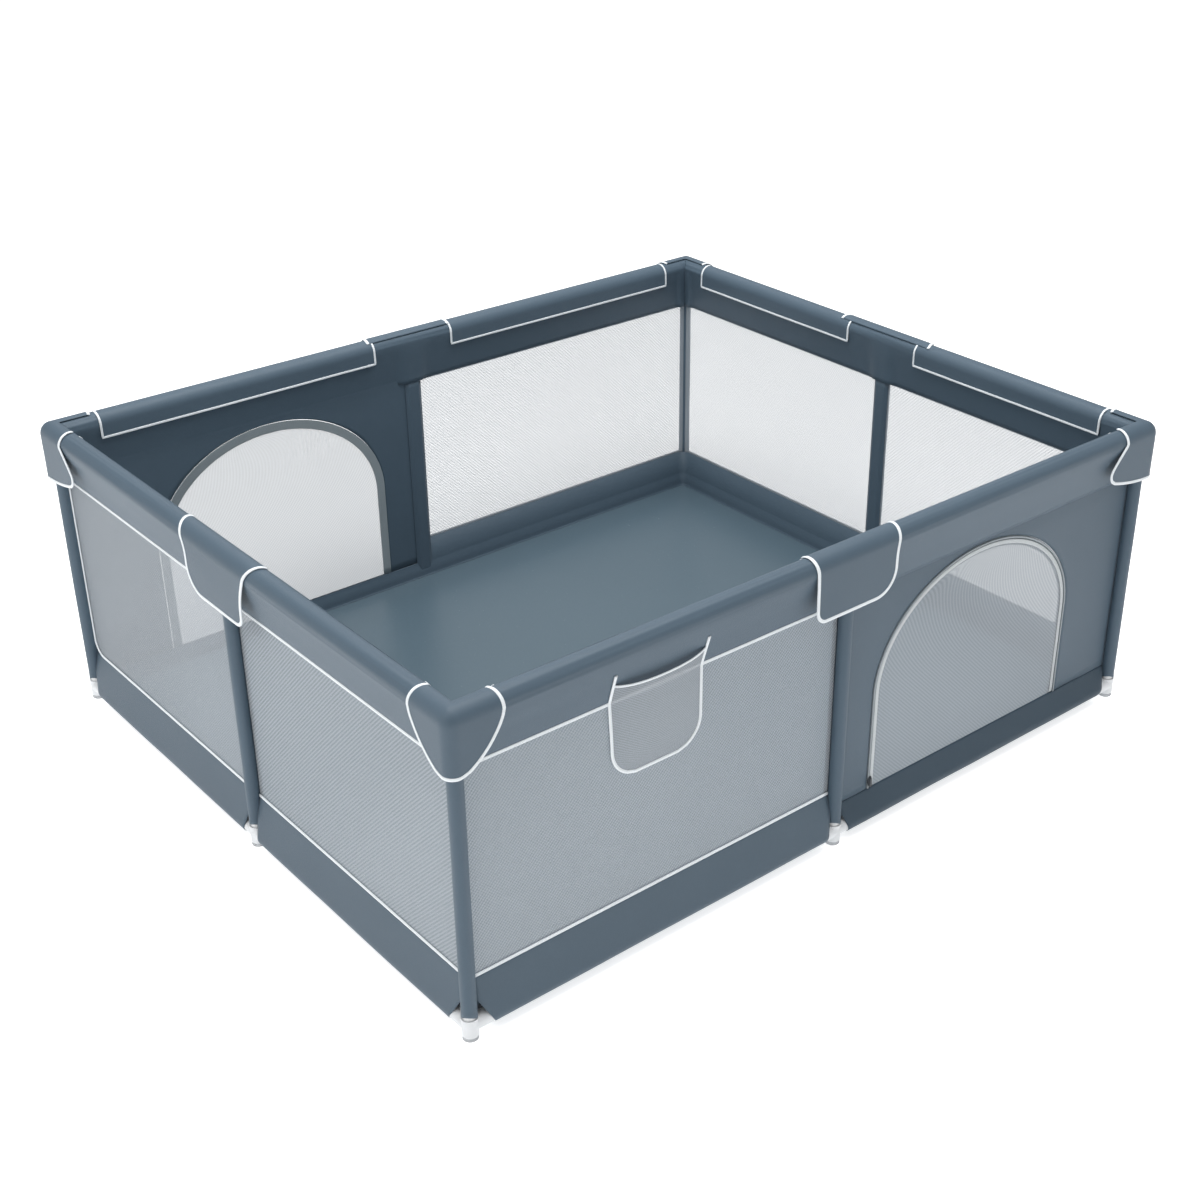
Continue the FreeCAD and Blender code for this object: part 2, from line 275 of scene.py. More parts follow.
# a woven cloth: threads over and under, slow changes of tone, and soft rubbed places
def makeWeaveGroup():
    group, start, end = newGroup(
        "clothWeave",
        [("Tone", "Color", (0.1, 0.1, 0.1, 1)), ("Thread Pitch", "Float", 0.0011),
         ("Tone Change", "Float", 0.12), ("Rub", "Float", 0.25), ("Roughness", "Float", 0.6)],
        [("Colour", "Color"), ("Roughness", "Float"), ("Height", "Float")],
    )
    u, v = clothPlace(group)
    turns = sums(group, "DIVIDE", math.pi, start.outputs["Thread Pitch"])
    warp = sums(group, "SINE", sums(group, "MULTIPLY", u, turns))
    weft = sums(group, "SINE", sums(group, "MULTIPLY", v, turns))
    threads = sums(group, "ABSOLUTE", sums(group, "MULTIPLY", warp, weft))
    space = node(group, "TexCoord").outputs["Object"]
    slow = node(group, "TexNoise", Vector=space, Scale=3.1, Detail=4.0, Roughness=0.55).outputs[0]
    slub = node(group, "TexNoise", Vector=space, Scale=240.0, Detail=2.0).outputs[0]
    rub = node(group, "TexNoise", Vector=space, Scale=17.0, Detail=5.0, Roughness=0.7).outputs[0]
    change = sums(group, "MULTIPLY", sums(group, "SUBTRACT", slow, 0.5), start.outputs["Tone Change"])
    grain = sums(group, "MULTIPLY", sums(group, "SUBTRACT", slub, 0.5), 0.10)
    shade = sums(group, "MULTIPLY_ADD", threads, 0.07, sums(group, "ADD", change, grain))
    bright = sums(group, "ADD", shade, 0.965)
    tone = blendColour(group, 1.0, start.outputs["Tone"], bright, "MULTIPLY")
    worn = node(group, "MapRange", i0=rub, i1=0.55, i2=0.8, i3=0.0, i4=1.0).outputs[0]
    worn = sums(group, "MULTIPLY", worn, start.outputs["Rub"])
    pale = blendColour(group, 1.0, tone, (1.35, 1.3, 1.28, 1), "MULTIPLY")
    put(group, end.inputs["Colour"], blendColour(group, worn, tone, pale))
    rough = sums(group, "MULTIPLY_ADD", worn, 0.12, start.outputs["Roughness"])
    put(group, end.inputs["Roughness"], sums(group, "MULTIPLY_ADD", grain, 0.5, rough))
    put(group, end.inputs["Height"], sums(group, "MULTIPLY_ADD", slub, 0.6, threads))
    return group


# an open knit: rows of small holes on the slant, with a tighter and a looser row in turn
def makeKnitGroup():
    group, start, end = newGroup(
        "openKnit",
        [("Hole Pitch", "Float", 0.0026), ("Row Pitch", "Float", 0.0074), ("Cover", "Float", 0.55),
         ("Row Contrast", "Float", 0.2), ("Hole Contrast", "Float", 0.4)],
        [("Alpha", "Float"), ("Rows", "Float"), ("Height", "Float")],
    )
    u, v = clothPlace(group)
    plus = sums(group, "ADD", u, v)
    minus = sums(group, "SUBTRACT", u, v)
    fine = sums(group, "DIVIDE", math.pi * 1.41421, start.outputs["Hole Pitch"])
    a = sums(group, "SINE", sums(group, "MULTIPLY", plus, fine))
    b = sums(group, "SINE", sums(group, "MULTIPLY", minus, fine))
    holes = sums(group, "ABSOLUTE", sums(group, "MULTIPLY", a, b))
    coarse = sums(group, "DIVIDE", math.pi * 1.41421, start.outputs["Row Pitch"])
    rows = sums(group, "SINE", sums(group, "MULTIPLY", plus, coarse))
    dots = sums(group, "SINE", sums(group, "MULTIPLY", minus, sums(group, "MULTIPLY", coarse, 1.35)))
    pattern = sums(group, "MULTIPLY_ADD", dots, 0.45, rows)
    # 0.405 is the mean of the holes wave, so the contrast doesn't change the mean cover
    gaps = sums(group, "MULTIPLY", sums(group, "SUBTRACT", 0.405, holes), start.outputs["Hole Contrast"])
    alpha = sums(group, "ADD", start.outputs["Cover"], gaps)
    alpha = sums(group, "MULTIPLY_ADD", pattern, start.outputs["Row Contrast"], alpha)
    alpha = node(group, "Clamp", i0=alpha, i1=0.0, i2=1.0).outputs[0]
    put(group, end.inputs["Alpha"], alpha)
    put(group, end.inputs["Rows"], pattern)
    put(group, end.inputs["Height"], sums(group, "SUBTRACT", 1.0, holes))
    return group


# a row of stitches along a tape, at a distance across it
def makeStitchGroup():
    group, start, end = newGroup(
        "stitchRow",
        [("Line At", "Float", 0.0035), ("Line Width", "Float", 0.0006), ("Pitch", "Float", 0.0042)],
        [("Mask", "Float"), ("Height", "Float")],
    )
    u, v = clothPlace(group)
    off = sums(group, "ABSOLUTE", sums(group, "SUBTRACT", v, start.outputs["Line At"]))
    line = sums(group, "LESS_THAN", off, start.outputs["Line Width"])
    beat = sums(group, "FRACT", sums(group, "DIVIDE", u, start.outputs["Pitch"]))
    dash = sums(group, "LESS_THAN", beat, 0.72)
    mask = sums(group, "MULTIPLY", line, dash)
    put(group, end.inputs["Mask"], mask)
    put(group, end.inputs["Height"], sums(group, "SUBTRACT", mask, line))
    return group


# fine grain and handling marks on moulded and painted parts
def makeMarksGroup():
    group, start, end = newGroup(
        "handlingMarks",
        [("Tone", "Color", (0.8, 0.8, 0.8, 1)), ("Roughness", "Float", 0.4), ("Amount", "Float", 0.15)],
        [("Colour", "Color"), ("Roughness", "Float"), ("Height", "Float")],
    )
    space = node(group, "TexCoord").outputs["Object"]
    grain = node(group, "TexNoise", Vector=space, Scale=900.0, Detail=2.0).outputs[0]
    haze = node(group, "TexNoise", Vector=space, Scale=28.0, Detail=5.0, Roughness=0.7).outputs[0]
    off = sums(group, "MULTIPLY", sums(group, "SUBTRACT", haze, 0.5), start.outputs["Amount"])
    tone = blendColour(group, 1.0, start.outputs["Tone"], sums(group, "ADD", off, 1.0), "MULTIPLY")
    put(group, end.inputs["Colour"], tone)
    put(group, end.inputs["Roughness"], sums(group, "ADD", start.outputs["Roughness"], off))
    put(group, end.inputs["Height"], grain)
    return group


weaveGroup = makeWeaveGroup()
knitGroup = makeKnitGroup()
stitchGroup = makeStitchGroup()
marksGroup = makeMarksGroup()


# ---- materials
def newMaterial(name, **values):
    material = bpy.data.materials.new(name)
    material.use_nodes = True
    tree = material.node_tree
    shader = tree.nodes["Principled BSDF"]
    for key, value in values.items():
        shader.inputs[key.replace("_", " ")].default_value = value
    return material, tree, shader


def useGroup(tree, group, **values):
    made = tree.nodes.new("ShaderNodeGroup")
    made.node_tree = group
    for key, value in values.items():
        made.inputs[key.replace("_", " ")].default_value = value
    return made


def useBump(tree, shader, height, strength, distance):
    bump = node(tree, "Bump", Height=height, Strength=strength, Distance=distance)
    tree.links.new(bump.outputs[0], shader.inputs["Normal"])


def clothMaterial(name, tone, roughness, sheen, pitch=0.0011, change=0.12, rub=0.2, bump=0.35):
    material, tree, shader = newMaterial(
        name, Sheen_Weight=sheen, Sheen_Roughness=0.45, Specular_IOR_Level=0.32
    )
    weave = useGroup(tree, weaveGroup, Tone=(*tone, 1), Thread_Pitch=pitch, Tone_Change=change,
                     Rub=rub, Roughness=roughness)
    tree.links.new(weave.outputs["Colour"], shader.inputs["Base Color"])
    tree.links.new(weave.outputs["Roughness"], shader.inputs["Roughness"])
    useBump(tree, shader, weave.outputs["Height"], bump, 0.0004)
    return material


finish = {
    "slate": (0.067, 0.104, 0.141),
    # hem: the slate cloth made darker, painted shade for the skirts below the door sills
    "hem": (0.044, 0.071, 0.099),
    "floor": (0.085, 0.130, 0.163),
    "knit": (0.360, 0.395, 0.430),
    "knitCover": 0.66,
    "doorCover": 0.71,
    "pocketCover": 0.62,
    "binding": (0.80, 0.84, 0.87),
    "zipPale": (0.60, 0.64, 0.66),
    "coil": (0.34, 0.38, 0.41),
    "zipGrey": (0.27, 0.315, 0.34),
    "foam": (0.30, 0.31, 0.33),
    "plastic": (0.70, 0.72, 0.74),
    "rubber": (0.74, 0.76, 0.78),
    "steel": (0.72, 0.73, 0.74),
    "metal": (0.045, 0.052, 0.060),
}
slateCloth = clothMaterial("slateCloth", finish["slate"], 0.52, 0.05)
# a darker copy of the slate cloth, painted shade for the skirts below the door sills
shadedSkirtCloth = clothMaterial("shadedSkirtCloth", finish["hem"], 0.55, 0.04)
floorCloth = clothMaterial("floorCloth", finish["floor"], 0.26, 0.03, change=0.05, rub=0.05, bump=0.10)
sleeveCloth = clothMaterial("sleeveCloth", finish["slate"], 0.5, 0.05)
bindingCloth = clothMaterial("bindingTape", finish["binding"], 0.7, 0.2, pitch=0.0009, change=0.05, rub=0.0)
gloss = {
    "slate": {"Coat Weight": 0.12, "Coat Roughness": 0.34},
    "floor": {
        "Specular IOR Level": 0.75,
        "Coat Weight": 0.38,
        "Coat Roughness": 0.32,
        "Coat IOR": 1.55,
    },
}
for material, looks in ((slateCloth, gloss["slate"]), (floorCloth, gloss["floor"])):
    for socket, value in looks.items():
        material.node_tree.nodes["Principled BSDF"].inputs[socket].default_value = value
foamStuff = clothMaterial("closedFoam", finish["foam"], 0.9, 0.0, pitch=0.002, bump=0.6)


# stitches show as small dents and slightly darker thread along a tape
def addStitches(material, lineAt):
    tree = material.node_tree
    shader = tree.nodes["Principled BSDF"]
    stitch = useGroup(tree, stitchGroup, Line_At=lineAt)
    colour = shader.inputs["Base Color"].links[0].from_socket
    darker = blendColour(tree, 1.0, colour, (0.80, 0.82, 0.84, 1), "MULTIPLY")
    tree.links.new(blendColour(tree, stitch.outputs["Mask"], colour, darker), shader.inputs["Base Color"])
    bump = shader.inputs["Normal"].links[0].from_node
    second = node(tree, "Bump", Height=stitch.outputs["Height"], Strength=0.6, Distance=0.0006)
    tree.links.new(bump.outputs[0], second.inputs["Normal"])
    tree.links.new(second.outputs[0], shader.inputs["Normal"])


addStitches(bindingCloth, 0.0045)


def knitMaterial(name, tone, cover, contrast=0.09, rowPitch=0.0062, holes=0.4):
    material, tree, shader = newMaterial(name, Roughness=0.62, Sheen_Weight=0.1, Specular_IOR_Level=0.3)
    knit = useGroup(tree, knitGroup, Cover=cover, Row_Contrast=contrast, Row_Pitch=rowPitch,
                    Hole_Contrast=holes)
    light = sums(tree, "MULTIPLY_ADD", knit.outputs["Rows"], 0.07, 1.0)
    tone = blendColour(tree, 1.0, (*tone, 1), light, "MULTIPLY")
    tree.links.new(tone, shader.inputs["Base Color"])
    tree.links.new(knit.outputs["Alpha"], shader.inputs["Alpha"])
    useBump(tree, shader, knit.outputs["Height"], 0.3, 0.0004)
    return material


windowKnit = knitMaterial("windowKnit", finish["knit"], finish["knitCover"])
doorKnit = knitMaterial("doorKnit", finish["knit"], finish["doorCover"], contrast=0.025, holes=0.1)
pocketKnit = knitMaterial(
    "pocketKnit", finish["knit"], finish["pocketCover"], contrast=0.04, rowPitch=0.004, holes=0.3
)


def zipMaterial(name, tone, pitch):
    material, tree, shader = newMaterial(name, Roughness=0.5, Specular_IOR_Level=0.4)
    u = clothPlace(tree)[0]
    ribs = sums(tree, "SINE", sums(tree, "MULTIPLY", u, 2 * math.pi / pitch))
    shade = sums(tree, "MULTIPLY_ADD", ribs, 0.08, 0.96)
    tree.links.new(blendColour(tree, 1.0, (*tone, 1), shade, "MULTIPLY"), shader.inputs["Base Color"])
    useBump(tree, shader, ribs, 0.5, 0.0005)
    return material


zipCoil = zipMaterial("zipCoil", finish["coil"], 0.0024)
zipTape = zipMaterial("zipTape", finish["zipGrey"], 0.0016)
leafTape = zipMaterial("leafTape", finish["zipPale"], 0.0016)


def marksMaterial(name, tone, roughness, amount, **values):
    material, tree, shader = newMaterial(name, **values)
    marks = useGroup(tree, marksGroup, Tone=(*tone, 1), Roughness=roughness, Amount=amount)
    tree.links.new(marks.outputs["Colour"], shader.inputs["Base Color"])
    tree.links.new(marks.outputs["Roughness"], shader.inputs["Roughness"])
    useBump(tree, shader, marks.outputs["Height"], 0.12, 0.0002)
    return material


whitePlastic = marksMaterial("whitePlastic", finish["plastic"], 0.34, 0.06)
clearRubber = marksMaterial(
    "clearRubber", finish["rubber"], 0.22, 0.08, Transmission_Weight=0.45, IOR=1.42
)
tubeSteel = marksMaterial("tubeSteel", finish["steel"], 0.35, 0.1, Coat_Weight=0.2)
darkMetal = marksMaterial("darkMetal", finish["metal"], 0.38, 0.12, Metallic=0.3)

cadFinish = {
    "corner_feet": whitePlastic,
    "middle_feet": whitePlastic,
    "top_elbows": whitePlastic,
    "top_tees": whitePlastic,
    "suction_cups": clearRubber,
    "bottom_rails": tubeSteel,
}
for name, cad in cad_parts.items():
    tubes = name.startswith("post_") and name != "post_sleeves" or name.startswith("top_rail_")
    stuff = tubeSteel if tubes else cadFinish.get(name)
    if stuff:
        for place in cad.material_slots:
            place.material = stuff
print("materials ready")


# ---- which piece stands for what
def dress(piece, body, slot, *nodes):
    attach(piece, body)
    if nodes:
        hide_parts(*nodes)
    return piece


# ---- padded rail: cloth round the foam, drawn down to the seam over the windows
cover = {
    "radius": 0.0240,
    "thick": 0.0010,
    "seamOut": wallAt + 0.0010,
    "innerOut": wallAt,
    "postIn": -0.0175,
    "postReach": 0.017,
    "postEase": 0.030,
    "creaseLong": 0.0011,
    "creaseFine": 0.0005,
    "cornerInset": 0.004,
    "cornerReach": 0.06,
    "cornerRows": 12,
    "rows": 150,
}


# where a line at offset w from the post axes runs as it comes to a corner: the walls meet on the
# diagonal, with the outer side rounded. back is the distance along the line from the diagonal.
def cornerRun(w, back):
    inset = cover["cornerInset"]
    if w <= inset:
        return back - w, w
    radius = w - inset
    arc = radius * math.pi / 4
    if back >= arc:
        return back - arc - inset, w
    angle = math.pi / 4 - back / radius
    return -inset - radius * math.sin(angle), inset + radius * math.cos(angle)


def runTo(w, reach):
    inset = cover["cornerInset"]
    return reach + (w if w <= inset else inset + (w - inset) * math.pi / 4)


def coverSection():
    radius = cover["radius"]
    drop = railZ - seamHigh
    outAngle = math.atan2(-drop, cover["seamOut"])
    leave = outAngle + math.acos(radius / math.hypot(drop, cover["seamOut"]))
    inAngle = math.atan2(-drop, cover["innerOut"]) + 2 * math.pi
    join = inAngle - math.acos(radius / math.hypot(drop, cover["innerOut"]))
    touch = Vector((math.cos(leave), math.sin(leave))) * radius
    inner = Vector((math.cos(join), math.sin(join))) * radius
    section = [Vector((cover["seamOut"], -drop)).lerp(touch, t) for t in spread(0, 1, 10)][:-1]
    section += [Vector((math.cos(t), math.sin(t))) * radius for t in spread(leave, join, 34)]
    section += [inner.lerp(Vector((cover["innerOut"], -drop)), t) for t in spread(0, 1, 10)][1:]
    return section


# the inner layer passes in front of the posts, so it stands in there
def roundPost(w, z, along, half):
    near = min(abs(along), half - abs(along))
    share = eased(1 - (near - cover["postReach"]) / cover["postEase"])
    goal = mixed(-cover["radius"], cover["postIn"], eased(-z / (railZ - seamHigh)))
    return mixed(w, min(w, goal), share)


def creased(section, along, seed):
    shaped = []
    last = len(section) - 1
    for j, point in enumerate(section):
        run = section[min(j + 1, last)] - section[max(j - 1, 0)]
        normal = Vector((run.y, -run.x)).normalized()
        fade = eased(j / 7) * eased((last - j) / 6)
        slow = noise.noise(Vector((along * 1.3, j * 0.17, seed)))
        fine = noise.noise(Vector((along * 4.5, j * 0.42, seed + 7.3)))
        crease = -abs(noise.noise(Vector((along * 0.9, j * 0.28, seed + 3.1)))) * 1.6
        depth = cover["creaseLong"] * (slow * 0.5 + crease + 0.2) + cover["creaseFine"] * fine
        shaped.append(point + normal * depth * fade)
    return shaped


def railCover(side, seed):
    half = wallHalf[side]
    reach = cover["cornerReach"]
    section = coverSection()
    ends = [reach * t ** 1.2 for t in spread(0, 1, cover["cornerRows"] + 1)]
    rows = [(-1, value) for value in ends]
    rows += [(0, value) for value in spread(-1, 1, cover["rows"] + 1)[1:-1]]
    rows += [(1, value) for value in reversed(ends)]
    grid = []
    for sign, value in rows:
        line = []
        along = sign * (half - value) if sign else value * (half - reach)
        for j, point in enumerate(creased(section, along, seed)):
            w, z = point
            if j > len(section) / 2 and z < 0:
                w = roundPost(w, z, along, half)
            if sign:
                a, out = cornerRun(w, runTo(w, reach) * value / reach)
                line.append(onWall(side, sign * (half - a), out, railZ + z))
            else:
                line.append(onWall(side, along, w, railZ + z))
        grid.append(line)
    name = "railCover_" + side
    piece = thicken(gridMesh(name, grid, slateCloth), cover["thick"])
    dress(piece, "pen", "slate_cloth", "rail_cover_" + side)
    wide = gathered([Vector((p.x, p.y, 0)) for p in section])[-1]


for index, side in enumerate(wallTurn):
    railCover(side, 11.0 * index + 2.0)

foam = {
    "outer": 0.0222,
    "bore": 0.0130,
    "rib": 0.0003,
    "ribTurns": 260,
    "fromTee": 0.019,
    "fromElbow": 0.027,
    "around": 24,
    "rows": 60,
}


# each sleeve is a closed tube: outside along the rail, then back through its bore
def foamSleeves():
    verts, faces, uvs = [], [], []
    around = foam["around"]

    def ring(side, u, radius):
        turns = [2 * math.pi * k / around for k in range(around)]
        return [onWall(side, u, radius * math.cos(t), railZ + radius * math.sin(t)) for t in turns]

    for side in wallTurn:
        low, high = foam["fromTee"], wallHalf[side] - foam["fromElbow"]
        for sign in (-1, 1):
            rows = []
            for u in spread(low, high, foam["rows"]):
                rib = foam["rib"] * math.sin(u * foam["ribTurns"])
                rows.append(ring(side, sign * u, foam["outer"] + rib))
            rows += [ring(side, sign * u, foam["bore"]) for u in (high, low)]
            base, count = len(verts), len(rows)
            verts += [point for row in rows for point in row]
            for i in range(count):
                m = (i + 1) % count
                for k in range(around):
                    n = (k + 1) % around
                    corners = ((i, k), (i, n), (m, n), (m, k))
                    faces.append(tuple(base + row * around + column for row, column in corners))
                    u, v = 0.01 * i, 0.006 * k
                    uvs.append([(u, v), (u, v + 0.006), (u + 0.01, v + 0.006), (u + 0.01, v)])
    piece = finishMesh("foamSleeves", verts, faces, uvs, foamStuff)
    dress(piece, "pen", "foam", "rail_foam")


foamSleeves()
print("rail covers and foam ready")

# ---- windows of open knit, and the pale tape over their seams
window = {
    "out": wallAt,
    "start": 0.0135,
    "tuck": 0.004,
    "selvage": 0.025,
    "wave": 0.0012,
    "columns": 60,
    "rows": 24,
}
tape = {"width": 0.0068, "thick": 0.0026, "out": wallAt + 0.0022, "start": 0.0145, "turn": 0.036}
windowSigns = {"front": (-1,), "back": (-1,), "left": (-1, 1), "right": (-1, 1)}


def windowSheet(side, sign):
    half, tuck = wallHalf[side], window["tuck"]
    grid = []
    for a in spread(window["start"], half - window["start"], window["columns"]):
        line = []
        for z in spread(seamLow - tuck, seamHigh + tuck, window["rows"]):
            slack = math.sin(math.pi * (z - seamLow) / (seamHigh - seamLow))
            wave = window["wave"] * slack * noise.noise(Vector((a * 3, z * 3, wallTurn[side] + sign)))
            line.append(onWall(side, sign * a, window["out"] + wave, z))
        grid.append(line)
    if side in ("left", "right"):
        grid = [line[::-1] for line in grid]
    name = f"window_{side}_{endNames[side][0 if sign < 0 else 1]}"
    piece = gridMesh(name, grid, windowKnit)
    dress(piece, "pen", "grey_mesh", "mesh_" + side)


def seamTape(name, side, points):
    path = [onWall(side, u, w, z) for u, w, z in points]
    normals = [outwards(side)] * len(path)
    piece = sweepMesh(name, path, normals, tapeSection(tape["width"], tape["thick"]), bindingCloth)
    dress(piece, "pen", "white_binding")


for side, signs in windowSigns.items():
    for sign in signs:
        windowSheet(side, sign)
        end = endNames[side][0 if sign < 0 else 1]
        far = wallHalf[side] - tape["start"]
        along = [sign * u for u in spread(tape["start"], far, 60)]
        seamTape(f"upperSeam_{side}_{end}", side, [(u, tape["out"], seamHigh) for u in along])
        low = [(u, seamLow) for u in along]
        # here the seam turns up beside the corner post and runs on to the upper seam
        if side in ("left", "right") and sign < 0:
            turn = tape["turn"]
            low = [(u, z) for u, z in low if abs(u) < far - turn]
            for t in spread(-math.pi / 2, 0, 14):
                low.append((sign * (far - turn + turn * math.cos(t)), seamLow + turn + turn * math.sin(t)))
            low += [(sign * far, z) for z in spread(seamLow + turn, seamHigh, 20)[1:]]
        seamTape(f"lowerSeam_{side}_{end}", side, [(u, tape["out"], z) for u, z in low])
print("windows ready")

# ---- skirts: cloth from the windows or the door sill down and round the bottom rail
skirt = {
    "hem": 0.0162,
    "top": wallAt + 0.0006,
    "under": 205,
    "near": 0.0148,
    "cutTop": 0.078,
    "cutFoot": 0.0155,
    "cornerCut": 0.048,
    "middleCut": 0.032,
    "thick": 0.0010,
    "wave": 0.0010,
}


# from the seam straight to the hem, then round the bottom rail
def skirtSection(top):
    radius = skirt["hem"]
    start = Vector((skirt["top"], top - sillZ))
    gone = start.length
    touch = math.atan2(start.y, start.x) - math.acos(radius / gone)
    leave = Vector((math.cos(touch), math.sin(touch))) * radius
    section = [start.lerp(leave, t) for t in spread(0, 1, 12)][:-1]
    end = -math.radians(skirt["under"] - 90)
    section += [Vector((math.cos(t), math.sin(t))) * radius for t in spread(touch, end, 16)]
    return section


def skirtSheet(side, sign, top, material):
    half = wallHalf[side]
    section = skirtSection(top)
    grid = []
    for share in spread(0, 1, 90):
        line = []
        for j, point in enumerate(section):
            w, z = point.x, point.y + sillZ
            cut = min(max((skirt["cutTop"] - z) / (skirt["cutTop"] - skirt["cutFoot"]), 0), 1)
            near = mixed(skirt["near"], skirt["middleCut"], cut)
            far = half - mixed(skirt["near"], skirt["cornerCut"], cut)
            u = sign * mixed(near, far, share)
            lift = skirt["wave"] * eased(j / 5) * noise.noise(Vector((u * 5, z * 9, wallTurn[side] * 0.1)))
            line.append(onWall(side, u, w + lift, z))
        grid.append(line)
    end = endNames[side][0 if sign < 0 else 1]
    piece = thicken(gridMesh(f"skirt_{side}_{end}", grid, material), skirt["thick"])
    dress(piece, "pen", "slate_cloth", "skirt_" + side)
    long = gathered([Vector((p.x, p.y, 0)) for p in section])[-1]


for side in wallTurn:
    for sign in (-1, 1):
        if sign in windowSigns[side]:
            skirtSheet(side, sign, seamLow, slateCloth)
        else:
            # below a door sill the skirt takes the darker cloth, which is painted shade
            skirtSheet(side, sign, doorSill[side], shadedSkirtCloth)
print("skirts ready")

# ---- door walls: a panel with an arched opening, its zip, and the leaf that folds down
door = {
    "centre": 0.405,
    "half": 0.303,
    "spring": 0.302,
    "top": 0.549,
    "panelOut": wallAt + 0.0002,
    "panelThick": 0.0010,
    "panelStart": 0.0125,
    "panelWave": 0.0012,
    "head": 0.030,
    "coilWidth": 0.0042,
    "coilThick": 0.0026,
    "coilOut": wallAt + 0.0016,
    "coilInset": 0.0030,
    "tapeInset": 0.0105,
    "tapeWidth": 0.022,
    "tapeThick": 0.0011,
    "tapeOut": wallAt - 0.0016,
    "leafInset": 0.0115,
    "leafOut": wallAt,
    "leafWave": 0.002,
    "leafTape": 0.0090,
    "leafTapeThick": 0.0018,
}


# points round the arch from the foot of its left side to the foot of its right side
def archLine(sill, inset, sideCount, archCount):
    left = door["centre"] - door["half"] + inset
    right = door["centre"] + door["half"] - inset
    rise = door["top"] - door["spring"] - inset
    half = door["half"] - inset
    points = [(left, z) for z in spread(sill, door["spring"], sideCount)][:-1]
    for t in spread(math.pi, 0, archCount):
        points.append((door["centre"] + half * math.cos(t), door["spring"] + rise * math.sin(t)))
    points += [(right, z) for z in spread(door["spring"], sill, sideCount)][1:]
    return points


def archPath(side, sill, inset, out):
    return [onWall(side, u, out, z) for u, z in archLine(sill, inset, 14, 60)]


def archArea(half, straight, rise):
    return 2 * half * straight + math.pi / 2 * half * rise


# the panel's head lies inside the rail cover's inner layer and then runs up behind it
def panelAt(z):
    up = z - seamHigh
    behind = mixed(-0.0008, 0.0014, eased(up / door["head"]))
    lean = (cover["innerOut"] + cover["radius"]) / (railZ - seamHigh)
    if up < 0:
        return door["panelOut"] + behind * eased(1 + up / 0.03)
    return cover["innerOut"] + behind - lean * up


# a grid from the arch out to the panel's straight edges, in three legs: up, across and down
def doorPanel(side):
    sill, half, start = doorSill[side], wallHalf[side], door["panelStart"]
    inner = archLine(sill, -0.001, 14, 60)
    count = len(inner)
    first, second = round(count * 0.30), round(count * 0.70)
    head = seamHigh + door["head"]
    corners = [(start, sill), (start, head), (half - start, head), (half - start, sill)]
    stops = [0, first, second, count - 1]
    grid = []
    for k, (u, z) in enumerate(inner):
        leg = 0 if k <= first else 1 if k <= second else 2
        t = (k - stops[leg]) / (stops[leg + 1] - stops[leg])
        edgeU = mixed(corners[leg][0], corners[leg + 1][0], t)
        edgeZ = mixed(corners[leg][1], corners[leg + 1][1], t)
        line = []
        for s in spread(0, 1, 22):
            pu, pz = mixed(u, edgeU, s), mixed(z, edgeZ, s)
            wave = noise.noise(Vector((pu * 6, pz * 6, wallTurn[side] * 0.1)))
            wave *= door["panelWave"] * math.sin(math.pi * s) * eased((seamHigh - pz) / 0.03)
            line.append(onWall(side, pu, panelAt(pz) + wave, pz))
        grid.append(line)
    piece = thicken(gridMesh("doorPanel_" + side, grid, slateCloth), door["panelThick"])
    dress(piece, "pen", "slate_cloth", "panel_" + side)
    hole = archArea(door["half"], door["spring"] - sill, door["top"] - door["spring"])


def doorZip(side):
    sill = doorSill[side]
    out = outwards(side)
    path = archPath(side, sill, door["coilInset"], door["coilOut"])
    section = tapeSection(door["coilWidth"], door["coilThick"])
    coil = sweepMesh("zipCoil_" + side, path, [out] * len(path), section, zipCoil)
    dress(coil, "pen", "zip_tape", "zip_" + side)
    path = archPath(side, sill, door["tapeInset"], door["tapeOut"])
    section = tapeSection(door["tapeWidth"], door["tapeThick"], square=0.35)
    band = sweepMesh("zipTape_" + side, path, [out] * len(path), section, zipTape)
    dress(band, "pen", "zip_tape")


def doorLeaf(side):
    sill = doorSill[side] + 0.001
    inset = door["leafInset"]
    half = door["half"] - inset
    rise = door["top"] - door["spring"] - inset
    levels = [(z, half) for z in spread(sill, door["spring"], 12)][:-1]
    for t in spread(0, math.radians(88.5), 30):
        levels.append((door["spring"] + rise * math.sin(t), half * math.cos(t)))
    grid = []
    for z, wide in levels:
        line = []
        for s in spread(-1, 1, 41):
            slack = (1 - s * s) * math.sin(math.pi * min(1, (z - sill) / (door["top"] - sill)))
            wave = door["leafWave"] * slack * noise.noise(Vector((s * 1.5, z * 4, wallTurn[side] * 0.1 + 3)))
            line.append(onWall(side, door["centre"] + s * wide, door["leafOut"] + wave, z))
        grid.append(line)
    leaf = gridMesh("doorLeaf_" + side, grid, doorKnit)
    body = "door_" + side
    dress(leaf, body, "grey_mesh", "door_" + side)
    edge = archPath(side, sill + 0.002, door["leafInset"] + 0.0005, door["leafOut"] + 0.0010)
    section = tapeSection(door["leafTape"], door["leafTapeThick"])
    band = sweepMesh("leafTape_" + side, edge, [outwards(side)] * len(edge), section, leafTape)
    dress(band, body, "zip_tape")


